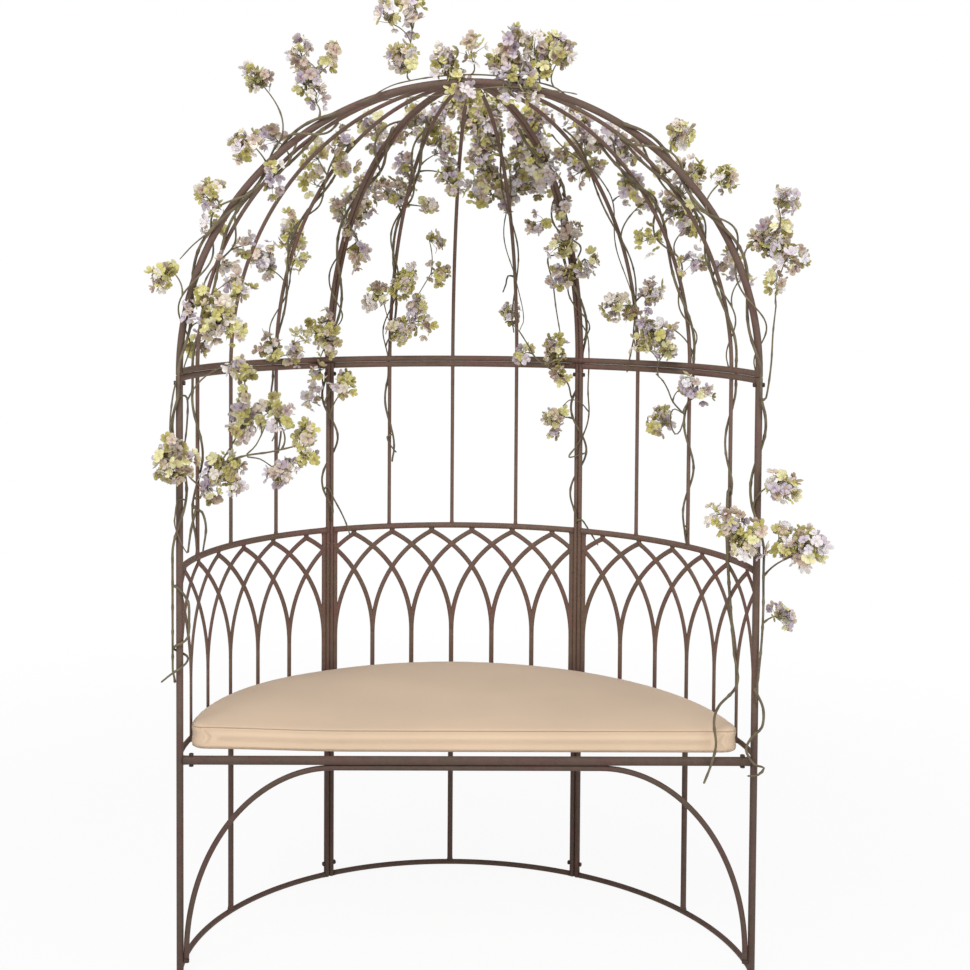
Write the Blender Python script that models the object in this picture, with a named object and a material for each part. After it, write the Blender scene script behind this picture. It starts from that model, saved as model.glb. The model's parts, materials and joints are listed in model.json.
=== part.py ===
"""Half-round metal garden arbour with a bench seat, a loose cushion and blossom garlands.

Metres, +Z up, front towards -Y. The origin lies on the floor under the middle of the back, where the base
rail rests. Every piece is placed from the front centre, an empty half way between the two front posts.
In plan the back is half a circle. An angle of 0 degrees is the left post and 180 degrees the right post.
"""

import math

import bmesh
import bpy
import numpy as np

# Gap that neighbouring solids keep
GAP = 0.0003

# Overall form
HALF_WIDTH = 0.642
JOINT_ANGLES = (0.0, 60.0, 120.0, 180.0)
PANELS = ("left", "middle", "right")
RAIL_STEPS = 8

# Front posts, hoop and crown
POST_D = 0.016
SPIGOT_D = 0.0118
SPIGOT_LENGTH = 0.06
SPIGOT_PLAY = 0.0004
HOOP_STEPS = 22
RIB_STEPS = 10
HUB_RADIUS = 0.048
HUB_THICKNESS = 0.014

# Heights of the rails above the floor, to their centre lines
SEAT_RAIL_Z = 0.4965
BACK_RAIL_Z = 0.909
TOP_RAIL_Z = 1.3353
FRONT_RAIL_Z = 0.4825

# Bar thicknesses, across the flats
BASE_RAIL_D = 0.013
LEG_D = 0.0135
SEAT_RAIL_D = 0.012
STILE_D = 0.0105
BACK_RAIL_D = 0.015
TOP_RAIL_D = 0.0145
DOME_RAIL_D = 0.0145
DOME_RAIL_INSET = 0.001
ROD_D = 0.0092
RIB_D = 0.0092
EDGE_RIB_D = 0.0105
FRONT_RAIL_D = 0.020

# Interlaced arches of the back, of flattened bar with its width along the back
TRACERY_WIDTH = 0.012
TRACERY_THICKNESS = 0.006
TRACERY_BAYS = 6
ARCH_SPRING_Z = 0.632
ARCH_APEX_DROP = 0.007
ARCH_SPAN_BAYS = 3
ARCH_STEPS = 5
WELD_TAPER = 0.7

# Arch under the front rail
APRON_D = 0.0125
APRON_HALF_SPAN = 0.33
APRON_FOOT_LENGTH = 0.0087
APRON_STEPS = 10

# Seat deck
DECK_BAR_D = 0.009
DECK_BARS = 5
DECK_FRONT_INSET = 0.10
DECK_BACK_INSET = 0.142
DECK_BEARERS = 3
DECK_BEARER_INSET = 0.362
DECK_BEARER_DROP = 0.0063

# Cushion
CUSHION_CLEARANCE = 0.0217
CUSHION_SHIFT_X = -0.005
CUSHION_FRONT_Y = 0.004
CUSHION_CORNER = 0.030
CUSHION_THICKNESS = 0.047
CUSHION_CROWN = 0.014
CUSHION_WAIST = 0.004
CUSHION_MIDDLE = 0.44
CUSHION_LOWER_SEAM = 0.006
CUSHION_UPPER_SEAM = 0.004

# Bolts
BOLT_D = 0.0055
BOLT_HEAD_ACROSS = 0.010
BOLT_HEAD_LENGTH = 0.004
NUT_LENGTH = 0.005
BOLT_PLAY = 0.0004
FOOT_BOLT_Z = 0.035
UPPER_BOLT_BELOW_RAIL = 0.022
SPIGOT_BOLT_BELOW_SEAM = 0.016
RAIL_BOLT_INSET = 0.0255
REST_SCREW_Z = 0.027
REST_SCREW_HEAD_LENGTH = 0.012
REST_SCREW_DEPTH = 0.010

# Garlands
STEM_D = 0.0055
STEM_SIDES = 4
TWIG_D = 0.003
STEM_CLEARANCE = 0.0006
MOST_STEM_TURN = 0.8
MOST_STEM_STEP = 0.08
STEM_END_LENGTH = 0.03
RAIL_PASS_BELOW = 0.052
RAIL_PASS_ABOVE = 0.018
BACK_RAIL_PASS = 0.03
SPRAY_CLEARANCE = 0.012

# Sizes that follow from the ones above
CUSHION_RADIUS = HALF_WIDTH - TRACERY_THICKNESS / 2 - CUSHION_CLEARANCE
BASE_RAIL_Z = BASE_RAIL_D / 2
SEAM_Z = TOP_RAIL_Z + TOP_RAIL_D / 2 + GAP
DOME_Z = SEAM_Z + DOME_RAIL_D / 2
SEAT_TOP_Z = SEAT_RAIL_Z + SEAT_RAIL_D / 2

COLOURS = {
    "front_metal": (0.235, 0.130, 0.105),
    "back_metal": (0.115, 0.062, 0.050),
    "bolt_metal": (0.090, 0.055, 0.045),
    "cushion_cloth": (0.740, 0.560, 0.390),
    "blossom": (0.420, 0.340, 0.400),
}


# Scene and materials


def clear_scene():
    """Removes every object that the file starts with."""
    for obj in list(bpy.data.objects):
        bpy.data.objects.remove(obj, do_unlink=True)


def material(name, finish):
    """A Principled material of its own for one piece."""
    made = bpy.data.materials.new(name)
    made.use_nodes = True
    shader = made.node_tree.nodes["Principled BSDF"]
    shader.inputs["Base Color"].default_value = (*COLOURS[finish], 1.0)
    shader.inputs["Roughness"].default_value = 0.9 if finish in ("cushion_cloth", "blossom") else 0.6
    shader.inputs["Metallic"].default_value = 0.35 if finish.endswith("metal") else 0.0
    return made


def front_centre():
    """The empty that carries every piece: half way between the front posts, on the floor."""
    empty = bpy.data.objects.new("front_centre", None)
    empty.location = (0.0, -HALF_WIDTH, 0.0)
    bpy.context.scene.collection.objects.link(empty)
    return empty


# Meshes


def tube(points, diameter, sides, across, turn=0.5):
    """Vertices and faces of a bar swept along points.

    Its flats lie at half the diameter from the centre line, one pair square to the direction across. A turn
    of 0 sets its edges there instead.
    """
    points = np.asarray(points, float)
    across = np.broadcast_to(np.asarray(across, float), points.shape)
    run = np.gradient(points, axis=0)
    run /= np.linalg.norm(run, axis=1)[:, None]
    second = np.cross(run, across)
    second /= np.linalg.norm(second, axis=1)[:, None]
    first = np.cross(second, run)
    angles = (np.arange(sides) + turn) * 2 * math.pi / sides
    corner = np.broadcast_to(np.asarray(diameter, float) / 2 / math.cos(math.pi / sides), len(points))
    ring = np.cos(angles)[:, None, None] * first + np.sin(angles)[:, None, None] * second
    verts = (points + corner[:, None] * ring).transpose(1, 0, 2).reshape(-1, 3)
    faces = []
    for i in range(len(points) - 1):
        for j in range(sides):
            k = (j + 1) % sides
            faces.append((i * sides + j, i * sides + k, (i + 1) * sides + k, (i + 1) * sides + j))
    last = (len(points) - 1) * sides
    faces.append(tuple(reversed(range(sides))))
    faces.append(tuple(range(last, last + sides)))
    return verts, faces


def prism(start, end, diameter, sides, across):
    """A straight bar from start to end."""
    return tube([start, end], diameter, sides, across)


def joined(pieces):
    """Several vertex and face lists as one."""
    verts, faces, count = [], [], 0
    for piece_verts, piece_faces in pieces:
        verts.append(np.asarray(piece_verts))
        faces.extend(tuple(count + i for i in face) for face in piece_faces)
        count += len(piece_verts)
    return np.concatenate(verts), faces


def add_object(name, shape, finish, parent, smooth=True):
    """Makes a mesh object from vertices and faces, with its normals pointing out."""
    verts, faces = shape
    mesh = bpy.data.meshes.new(name)
    mesh.from_pydata([tuple(v) for v in verts], [], faces)
    work = bmesh.new()
    work.from_mesh(mesh)
    bmesh.ops.recalc_face_normals(work, faces=work.faces)
    work.to_mesh(mesh)
    work.free()
    mesh.validate()
    if smooth:
        mesh.shade_smooth()
        mesh.set_sharp_from_angle(angle=math.radians(50))
    mesh.materials.append(material(name, finish))
    obj = bpy.data.objects.new(name, mesh)
    obj.parent = parent
    bpy.context.scene.collection.objects.link(obj)
    return obj


def add_guide(name, shape, parent):
    """An operand for a Boolean: it isn't part of the arbour."""
    guide = add_object(name, shape, "bolt_metal", parent, smooth=False)
    guide.hide_render = True
    guide.display_type = "WIRE"
    return guide


def boolean(obj, operand, operation):
    """Adds an exact Boolean to an object."""
    modifier = obj.modifiers.new(f"{operation.lower()} {operand.name}", "BOOLEAN")
    modifier.operation = operation
    modifier.solver = "EXACT"
    modifier.object = operand
    modifier.use_self = operation == "UNION"
    return modifier


def add_welded(name, pieces, finish, parent):
    """One body from several bars that run into each other."""
    obj = add_object(name, pieces[0], finish, parent)
    boolean(obj, add_guide(f"{name}_bars", joined(pieces[1:]), parent), "UNION")
    return obj


# Plan geometry


def plan_frame(angle):
    """Outward and sideways unit vectors at an angle round the plan."""
    t = math.radians(angle)
    outward = np.array([-math.cos(t), math.sin(t), 0.0])
    sideways = np.array([math.sin(t), math.cos(t), 0.0])
    return outward, sideways


def plan_point(angle, z, shift=0.0):
    """The point on the back's circle at an angle and a height, moved sideways by shift."""
    outward, sideways = plan_frame(angle)
    return HALF_WIDTH * outward + shift * sideways + np.array([0.0, 0.0, z])


def inset_angle(inset):
    """The angle that a length along the back's circle covers."""
    return math.degrees(inset / HALF_WIDTH)


def rail_points(panel, z, joint_inset):
    """Points along a panel's rail, kept clear of the posts and, by joint_inset, of the panel joints."""
    left, right = JOINT_ANGLES[panel], JOINT_ANGLES[panel + 1]
    post_inset = POST_D / 2 + GAP
    left_inset = post_inset if panel == 0 else joint_inset
    right_inset = post_inset if panel == len(PANELS) - 1 else joint_inset
    start, end = left + inset_angle(left_inset), right - inset_angle(right_inset)
    return [plan_point(a, z) for a in np.linspace(start, end, RAIL_STEPS + 1)]


def rail(panel, z, diameter, joint_inset):
    """A curved rail of one panel."""
    return tube(rail_points(panel, z, joint_inset), diameter, 8, (0, 0, 1))


def upright(angle, low, high, diameter, shift=0.0, sides=8):
    """A vertical bar at an angle round the plan."""
    outward, _ = plan_frame(angle)
    return prism(plan_point(angle, low, shift), plan_point(angle, high, shift), diameter, sides, outward)


def inner_joints():
    """The joints between panels, with the side of the joint that each panel lies on."""
    for joint in JOINT_ANGLES[1:-1]:
        for side in (-1, 1):
            yield joint, side


# Base and seat frame


def joint_shift(diameter, side):
    """How far a bar of a pair lies beside the joint that it flanks."""
    return side * (GAP / 2 + diameter / 2)


def make_base(parent):
    """Base rails, legs and seat rails."""
    leg_inset = GAP / 2 + LEG_D + GAP
    for i, panel in enumerate(PANELS):
        base = rail(i, BASE_RAIL_Z, BASE_RAIL_D, leg_inset)
        add_object(f"base_rail_{panel}", base, "back_metal", parent)
        seat = rail(i, SEAT_RAIL_Z, SEAT_RAIL_D, leg_inset)
        add_object(f"seat_rail_{panel}", seat, "back_metal", parent)
        middle = (JOINT_ANGLES[i] + JOINT_ANGLES[i + 1]) / 2
        low = BASE_RAIL_D + GAP
        high = SEAT_RAIL_Z - SEAT_RAIL_D / 2 - GAP
        add_object(f"leg_{panel}", upright(middle, low, high, LEG_D), "back_metal", parent)


def make_joint_uprights(parent):
    """The pairs of legs and stiles where two panels meet, drilled for the bolts that pull them together."""
    for joint, side in inner_joints():
        name = f"{'left' if joint < 90 else 'right'}_{'outer' if (side < 0) == (joint < 90) else 'inner'}"
        leg = upright(joint, 0.0, SEAT_TOP_Z, LEG_D, joint_shift(LEG_D, side))
        leg = add_object(f"joint_leg_{name}", leg, "back_metal", parent)
        top = TOP_RAIL_Z + TOP_RAIL_D / 2
        stile = upright(joint, SEAT_TOP_Z + GAP, top, STILE_D, joint_shift(STILE_D, side))
        stile = add_object(f"stile_{name}", stile, "back_metal", parent)
        drill(leg, plan_point(joint, FOOT_BOLT_Z), plan_frame(joint)[1], 2 * LEG_D, parent)
        drill(stile, plan_point(joint, upper_bolt_z()), plan_frame(joint)[1], 2 * STILE_D, parent)


def drill(obj, centre, axis, reach, parent):
    """Cuts a bolt hole through an object, along axis and both ways from centre."""
    axis = np.asarray(axis, float)
    across = (0, 0, 1) if abs(axis[2]) < 0.5 else (0, 1, 0)
    cutter = prism(centre - reach * axis, centre + reach * axis, BOLT_D + 2 * BOLT_PLAY, 6, across)
    boolean(obj, add_guide(f"{obj.name}_drill_{len(obj.modifiers)}", cutter, parent), "DIFFERENCE")


def upper_bolt_z():
    """Height of the bolts that pull the stiles together, just under the top rail."""
    return TOP_RAIL_Z - UPPER_BOLT_BELOW_RAIL


# Back panels


def flattened(piece):
    """A round bar pressed flat between two cylinders that are concentric with the back."""
    verts, faces = piece
    reach = np.hypot(verts[:, 0], verts[:, 1])
    pressed = HALF_WIDTH + (reach - HALF_WIDTH) * TRACERY_THICKNESS / TRACERY_WIDTH
    return verts * np.stack([pressed / reach, pressed / reach, np.ones(len(verts))], 1), faces


def tracery(panel):
    """Interlaced pointed arches: each upright parts into two arcs that meet their neighbours' in points.

    An arc leaves its upright vertically and ends one and a half bays away, under the back rail. Arcs that
    would pass the panel's end bars stop at them, and the arcs that would come from beyond start there.
    """
    edge = GAP / 2 + STILE_D + GAP + TRACERY_WIDTH / 2
    post_edge = POST_D / 2 + GAP + TRACERY_WIDTH / 2
    start = JOINT_ANGLES[panel] + inset_angle(post_edge if panel == 0 else edge)
    end = JOINT_ANGLES[panel + 1] - inset_angle(post_edge if panel == len(PANELS) - 1 else edge)
    bay = (end - start) / TRACERY_BAYS
    bay_length = math.radians(bay) * HALF_WIDTH
    under = BACK_RAIL_Z - BACK_RAIL_D / 2 - GAP
    rise = under - ARCH_APEX_DROP - ARCH_SPRING_Z
    half_span = ARCH_SPAN_BAYS / 2 * bay_length
    radius = (half_span**2 + rise**2) / (2 * half_span)
    apex_turn = math.asin(rise / radius)
    edge_turn = math.acos(1 - bay_length / radius)

    pieces = []
    for k in range(TRACERY_BAYS + 1):
        end_bar = k in (0, TRACERY_BAYS)
        head = under if end_bar else ARCH_SPRING_Z + TRACERY_WIDTH
        sides = 8 if end_bar else 5
        pieces.append(upright(start + k * bay, SEAT_TOP_Z + GAP, head, TRACERY_WIDTH, sides=sides))
    for k in range(-1, TRACERY_BAYS + 2):
        for lean in (-1, 1):
            bays_ahead = TRACERY_BAYS - k if lean > 0 else k
            if bays_ahead < 1 or bays_ahead > TRACERY_BAYS + 1:
                continue
            first = edge_turn if bays_ahead > TRACERY_BAYS else 0.0
            last = edge_turn if bays_ahead == 1 else apex_turn
            path = []
            for a in np.linspace(first, last, 3 if first else ARCH_STEPS + 1):
                offset = radius * (1 - math.cos(a)) / bay_length
                height = ARCH_SPRING_Z + radius * math.sin(a)
                path.append(plan_point(start + (k + lean * offset) * bay, height))
            sizes = np.full(len(path), TRACERY_WIDTH)
            sizes[0] *= WELD_TAPER
            if bays_ahead == 1:
                sizes[-1] *= WELD_TAPER
            outward = [plan_frame(start + k * bay)[0]] * len(path)
            pieces.append(tube(path, sizes, 6, outward, 0.5 if lean > 0 else 0.0))
    for k in range(TRACERY_BAYS):
        low = under - 2 * ARCH_APEX_DROP
        pieces.append(upright(start + (k + 0.5) * bay, low, under, TRACERY_WIDTH, sides=5))
    return [flattened(piece) for piece in pieces]


def make_back(parent):
    """Back rails, arched tracery and the rods above them."""
    stile_inset = GAP / 2 + STILE_D + GAP
    for i, panel in enumerate(PANELS):
        back = rail(i, BACK_RAIL_Z, BACK_RAIL_D, stile_inset)
        add_object(f"back_rail_{panel}", back, "back_metal", parent)
        add_welded(f"arched_back_{panel}", tracery(i), "back_metal", parent)
        pieces = [rail(i, TOP_RAIL_Z, TOP_RAIL_D, stile_inset)]
        for angle in np.linspace(JOINT_ANGLES[i], JOINT_ANGLES[i + 1], 5)[1:-1]:
            low = BACK_RAIL_Z + BACK_RAIL_D / 2 + GAP
            pieces.append(upright(angle, low, TOP_RAIL_Z, ROD_D))
        add_welded(f"upper_rods_{panel}", pieces, "back_metal", parent)


# Dome


def rib(angle, shift, diameter):
    """A quarter circle from the dome rail up to the crown hub."""
    outward, sideways = plan_frame(angle)
    lean = diameter * HUB_RADIUS / HALF_WIDTH
    along = math.sqrt((HUB_RADIUS + GAP + lean) ** 2 - shift**2)
    end = math.acos(along / HALF_WIDTH)
    path = []
    for a in np.linspace(0.0, end, RIB_STEPS + 1):
        point = HALF_WIDTH * math.cos(a) * outward + shift * sideways
        path.append(point + np.array([0.0, 0.0, DOME_Z + HALF_WIDTH * math.sin(a)]))
    return tube(path, diameter, 6, sideways)


def make_dome(parent):
    """Three dome panels: a curved rail with ribs that run up to the crown."""
    for i, panel in enumerate(PANELS):
        left, right = JOINT_ANGLES[i], JOINT_ANGLES[i + 1]
        pieces = [rail(i, DOME_Z, DOME_RAIL_D, DOME_RAIL_INSET)]
        for angle in np.linspace(left, right, 5)[1:-1]:
            pieces.append(rib(angle, 0.0, RIB_D))
        if i > 0:
            pieces.append(rib(left, joint_shift(EDGE_RIB_D, 1), EDGE_RIB_D))
        if i < len(PANELS) - 1:
            pieces.append(rib(right, joint_shift(EDGE_RIB_D, -1), EDGE_RIB_D))
        add_welded(f"dome_panel_{panel}", pieces, "back_metal", parent)


def make_crown(parent):
    """The half-round hub behind the hoop that gathers the ribs, and the bolt through it."""
    front = POST_D / 2 + GAP
    outline = []
    reach = math.acos(front / HUB_RADIUS)
    for a in np.linspace(-reach, reach, 19):
        outline.append((HUB_RADIUS * math.sin(a), HUB_RADIUS * math.cos(a)))
    z_mid = DOME_Z + HALF_WIDTH
    low = [(x, y, z_mid - HUB_THICKNESS / 2) for x, y in outline]
    high = [(x, y, z_mid + HUB_THICKNESS / 2) for x, y in outline]
    n = len(outline)
    faces = [tuple(range(n)), tuple(reversed(range(n, 2 * n)))]
    faces += [(i, (i + 1) % n, n + (i + 1) % n, n + i) for i in range(n)]
    hub = add_object("crown_hub", (low + high, faces), "back_metal", parent)
    centre = np.array([0.0, (HUB_RADIUS + front) / 2, z_mid])
    drill(hub, centre, (0, 0, 1), HUB_THICKNESS, parent)
    add_bolt("crown_bolt", centre, (0, 0, 1), HUB_THICKNESS, parent)


# Front


def make_front(parent):
    """Posts, hoop, front rail and the arch under it."""
    make_posts(parent)
    make_hoop(parent)
    half = HALF_WIDTH - POST_D / 2 - GAP
    ends = ((-half, 0, FRONT_RAIL_Z), (half, 0, FRONT_RAIL_Z))
    front_rail = add_object("front_rail", prism(*ends, FRONT_RAIL_D, 12, (0, 0, 1)), "front_metal", parent)
    for side in (-1, 1):
        place = np.array([side * (HALF_WIDTH - RAIL_BOLT_INSET), 0.0, FRONT_RAIL_Z])
        drill(front_rail, place, (0, 0, 1), FRONT_RAIL_D, parent)
        name = "left" if side < 0 else "right"
        add_bolt(f"rail_bolt_{name}", place, (0, 0, -1), FRONT_RAIL_D, parent)
    add_object("apron_arch", apron(), "front_metal", parent)


def make_posts(parent):
    """Front posts: round tube with a socket at the top for the hoop's spigot."""
    for side, name in ((-1, "left"), (1, "right")):
        x = side * HALF_WIDTH
        post = prism((x, 0, 0), (x, 0, SEAM_Z), POST_D, 12, (1, 0, 0))
        post = add_object(f"post_{name}", post, "front_metal", parent)
        depth = SPIGOT_LENGTH + 2 * SPIGOT_PLAY
        bore_d = SPIGOT_D + 2 * SPIGOT_PLAY
        bore = prism((x, 0, SEAM_Z - depth), (x, 0, SEAM_Z + depth), bore_d, 12, (1, 0, 0))
        boolean(post, add_guide(f"post_{name}_socket", bore, parent), "DIFFERENCE")
        drill(post, spigot_bolt_place(x), (1, 0, 0), POST_D, parent)
        add_bolt(f"spigot_bolt_{name}", spigot_bolt_place(x), (side, 0, 0), POST_D, parent)
        inner = np.array([x - side * POST_D / 2, 0.0, REST_SCREW_Z])
        drill(post, inner, (side, 0, 0), REST_SCREW_DEPTH + 2 * BOLT_PLAY, parent)
        add_rest_screw(f"rest_screw_{name}", inner, (-side, 0, 0), parent)


def make_hoop(parent):
    """The front hoop: half a circle of tube with a spigot at each end that drops into a post."""
    path = [(-HALF_WIDTH, 0.0, SEAM_Z + GAP)]
    for a in np.linspace(0, math.pi, HOOP_STEPS + 1):
        path.append((-HALF_WIDTH * math.cos(a), 0.0, DOME_Z + HALF_WIDTH * math.sin(a)))
    path.append((HALF_WIDTH, 0.0, SEAM_Z + GAP))
    pieces = [tube(path, POST_D, 12, (0, 1, 0))]
    for x in (-HALF_WIDTH, HALF_WIDTH):
        pieces.append(prism((x, 0, SEAM_Z - SPIGOT_LENGTH), (x, 0, DOME_Z), SPIGOT_D, 12, (0, 1, 0)))
    hoop = add_welded("hoop", pieces, "front_metal", parent)
    for x in (-HALF_WIDTH, HALF_WIDTH):
        drill(hoop, spigot_bolt_place(x), (1, 0, 0), POST_D, parent)


def spigot_bolt_place(x):
    """Where the bolt through a post and its spigot sits."""
    return np.array([x, 0.0, SEAM_Z - SPIGOT_BOLT_BELOW_SEAM])


def apron():
    """The arch under the front rail: two quarter ellipses and a straight crown, on screws in the posts."""
    foot_x = HALF_WIDTH - POST_D / 2 - GAP - APRON_D / 2
    top = FRONT_RAIL_Z - FRONT_RAIL_D / 2 - GAP - APRON_D / 2
    foot = REST_SCREW_Z + BOLT_HEAD_ACROSS / 2 + GAP
    rise = top - foot - APRON_FOOT_LENGTH
    half = [(-foot_x, 0.0, foot)]
    for a in np.linspace(0, math.pi / 2, APRON_STEPS + 1):
        x = -foot_x + APRON_HALF_SPAN * (1 - math.cos(a))
        half.append((x, 0.0, top - rise + rise * math.sin(a)))
    other = [(-x, y, z) for x, y, z in reversed(half)]
    return tube(half + other, APRON_D, 8, (0, 1, 0))


# Seat


def make_seat(parent):
    """The deck of bars under the cushion."""
    half_step = math.radians(JOINT_ANGLES[1] - JOINT_ANGLES[0]) / RAIL_STEPS / 2
    chord_loss = HALF_WIDTH * (1 - math.cos(half_step))
    corner = DECK_BAR_D / 2 / math.cos(math.pi / 6)
    clear = HALF_WIDTH - chord_loss - SEAT_RAIL_D / 2 / math.cos(math.pi / 8) - GAP
    z = SEAT_TOP_Z - DECK_BAR_D / 2
    pieces = []
    bar_ys = np.linspace(DECK_FRONT_INSET, HALF_WIDTH - DECK_BACK_INSET, DECK_BARS)
    for y in bar_ys:
        x = math.sqrt(clear**2 - (y + corner) ** 2)
        pieces.append(prism((-x, y, z), (x, y, z), DECK_BAR_D, 6, (0, 0, 1)))
    low = z - DECK_BEARER_DROP
    reach = HALF_WIDTH - DECK_BEARER_INSET
    for x in np.linspace(-reach, reach, DECK_BEARERS):
        y = math.sqrt(clear**2 - (abs(x) + corner) ** 2)
        pieces.append(prism((x, bar_ys[0] - DECK_BAR_D, low), (x, y, low), DECK_BAR_D, 6, (0, 0, 1)))
    add_welded("seat_deck", pieces, "back_metal", parent)


def cushion_outline():
    """The D of the cushion: a straight front, two rounded corners and half a circle."""
    r, c, front = CUSHION_RADIUS, CUSHION_CORNER, CUSHION_FRONT_Y
    corner_y = front + c
    corner_x = math.sqrt((r - c) ** 2 - corner_y**2)
    turn = math.atan2(corner_y, corner_x)
    outline = [(x, front) for x in np.linspace(-corner_x, corner_x, 9)]
    for a in np.linspace(-math.pi / 2, turn, 6)[1:]:
        outline.append((corner_x + c * math.cos(a), corner_y + c * math.sin(a)))
    for a in np.linspace(turn, math.pi - turn, 25)[1:-1]:
        outline.append((r * math.cos(a), r * math.sin(a)))
    for a in np.linspace(math.pi - turn, 3 * math.pi / 2, 6)[:-1]:
        outline.append((-corner_x + c * math.cos(a), corner_y + c * math.sin(a)))
    return np.array(outline)


def make_cushion(parent):
    """A boxed cushion: flat below, sides drawn in between two seams, and a crowned top."""
    outline = cushion_outline()
    middle = np.array([0.0, CUSHION_FRONT_Y + CUSHION_MIDDLE * CUSHION_RADIUS])
    bottom = SEAT_TOP_Z + GAP
    high = bottom + CUSHION_THICKNESS
    waist = 1 - CUSHION_WAIST / CUSHION_RADIUS
    levels = [(0.5, bottom), (0.985, bottom), (1.0, bottom + CUSHION_LOWER_SEAM)]
    levels += [(waist, bottom + CUSHION_THICKNESS * f) for f in (0.35, 0.65)]
    levels += [(1.0, high - CUSHION_UPPER_SEAM)]
    for scale in (0.985, 0.93, 0.82, 0.62, 0.35):
        levels.append((scale, high + CUSHION_CROWN * (1 - scale**4)))
    n = len(outline)
    verts = [(middle[0], middle[1], bottom)]
    for scale, z in levels:
        ring = middle + (outline - middle) * scale
        verts += [(x, y, z) for x, y in ring]
    verts.append((middle[0], middle[1], high + CUSHION_CROWN))
    faces = [(0, 1 + (i + 1) % n, 1 + i) for i in range(n)]
    for level in range(len(levels) - 1):
        base = 1 + level * n
        for i in range(n):
            j = (i + 1) % n
            faces.append((base + i, base + j, base + n + j, base + n + i))
    base = 1 + (len(levels) - 1) * n
    faces += [(base + i, base + (i + 1) % n, len(verts) - 1) for i in range(n)]
    cushion = add_object("seat_cushion", (verts, faces), "cushion_cloth", parent)
    cushion.location = (CUSHION_SHIFT_X, 0.0, 0.0)


# Bolts


def add_bolt(name, centre, axis, grip, parent):
    """A hexagon bolt with its nut: grip is the thickness that it holds, and axis points to the head."""
    seat = grip / 2 + GAP
    stations = [
        (-seat - NUT_LENGTH, BOLT_HEAD_ACROSS),
        (-seat, BOLT_HEAD_ACROSS),
        (-seat, BOLT_D),
        (seat, BOLT_D),
        (seat, BOLT_HEAD_ACROSS),
        (seat + BOLT_HEAD_LENGTH, BOLT_HEAD_ACROSS),
    ]
    return add_turned(name, centre, axis, stations, parent)


def add_rest_screw(name, mouth, axis, parent):
    """A long-headed screw in a post: the foot of the arch rests on its head."""
    stations = [
        (-REST_SCREW_DEPTH, BOLT_D),
        (GAP, BOLT_D),
        (GAP, BOLT_HEAD_ACROSS),
        (GAP + REST_SCREW_HEAD_LENGTH, BOLT_HEAD_ACROSS),
    ]
    return add_turned(name, mouth, axis, stations, parent)


def add_turned(name, centre, axis, stations, parent):
    """A six-sided piece along axis: each station is a place on it and the size across flats there."""
    axis = np.asarray(axis, float)
    across = np.array([0.0, 0.0, 1.0]) if abs(axis[2]) < 0.5 else np.array([0.0, 1.0, 0.0])
    second = np.cross(axis, across)
    verts, faces = [], []
    for place, size in stations:
        for j in range(6):
            a = (j + 0.5) * math.pi / 3
            spoke = math.cos(a) * across + math.sin(a) * second
            verts.append(centre + place * axis + size / 2 / math.cos(math.pi / 6) * spoke)
    for i in range(len(stations) - 1):
        for j in range(6):
            k = (j + 1) % 6
            faces.append((i * 6 + j, i * 6 + k, (i + 1) * 6 + k, (i + 1) * 6 + j))
    last = len(verts)
    faces += [tuple(reversed(range(6))), tuple(range(last - 6, last))]
    return add_object(name, (verts, faces), "bolt_metal", parent, smooth=False)


def make_joint_bolts(parent):
    """The bolts that pull the panels together at foot and head."""
    for joint in JOINT_ANGLES[1:-1]:
        name = "left" if joint < 90 else "right"
        sideways = plan_frame(joint)[1] * (-1 if joint < 90 else 1)
        grip = 2 * LEG_D + GAP
        add_bolt(f"foot_bolt_{name}", plan_point(joint, FOOT_BOLT_Z), sideways, grip, parent)
        grip = 2 * STILE_D + GAP
        add_bolt(f"stile_bolt_{name}", plan_point(joint, upper_bolt_z()), sideways, grip, parent)


# Garlands


UP = np.array([0.0, 0.0, 1.0])
LEFT = np.array([-1.0, 0.0, 0.0])
RIGHT = np.array([1.0, 0.0, 0.0])
FRONT = np.array([0.0, -1.0, 0.0])


class Carrier:
    """What a garland winds round: an upright bar and the quarter circle above it.

    A place along it is a length from the spring of the dome, upwards positive. Outward points away from the
    shell, sideways lies in it or, on the hoop, to the front. The bar's corner is its largest half width, and
    its flat the half width where the stem's lower end lies against it.
    """

    def __init__(self, outward, sideways, corner, flat):
        self.outward = outward
        self.sideways = sideways
        stem_corner = STEM_D / 2 / math.cos(math.pi / STEM_SIDES)
        self.stem_reach = (corner + stem_corner + STEM_CLEARANCE) / math.cos(MOST_STEM_TURN * math.pi / 4)
        self.end_reach = flat + STEM_D / 2 + GAP

    def point(self, along, out, side):
        """The point at a length along the bar, moved outwards and sideways."""
        turn = max(along, 0.0) / HALF_WIDTH
        outward = math.cos(turn) * self.outward + math.sin(turn) * UP
        foot = (DOME_Z + min(along, 0.0)) * UP
        return foot + (HALF_WIDTH + out) * outward + side * self.sideways


def wind(stations):
    """Places along a stem between stations of length and quarter turns, in steps that stay short."""
    places = [stations[0]]
    for (along, turn), (next_along, next_turn) in zip(stations, stations[1:]):
        by_turn = abs(next_turn - turn) / MOST_STEM_TURN
        by_length = abs(next_along - along) / MOST_STEM_STEP
        steps = max(1, math.ceil(max(by_turn, by_length)))
        for i in range(1, steps + 1):
            share = i / steps
            places.append((along + share * (next_along - along), turn + share * (next_turn - turn)))
    return places


def lump(centre, radius):
    """A twenty-faced lump of blossom."""
    work = bmesh.new()
    bmesh.ops.create_icosphere(work, subdivisions=1, radius=radius)
    verts = np.array([v.co for v in work.verts]) + centre
    faces = [tuple(v.index for v in face.verts) for face in work.faces]
    work.free()
    return verts, faces


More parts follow.
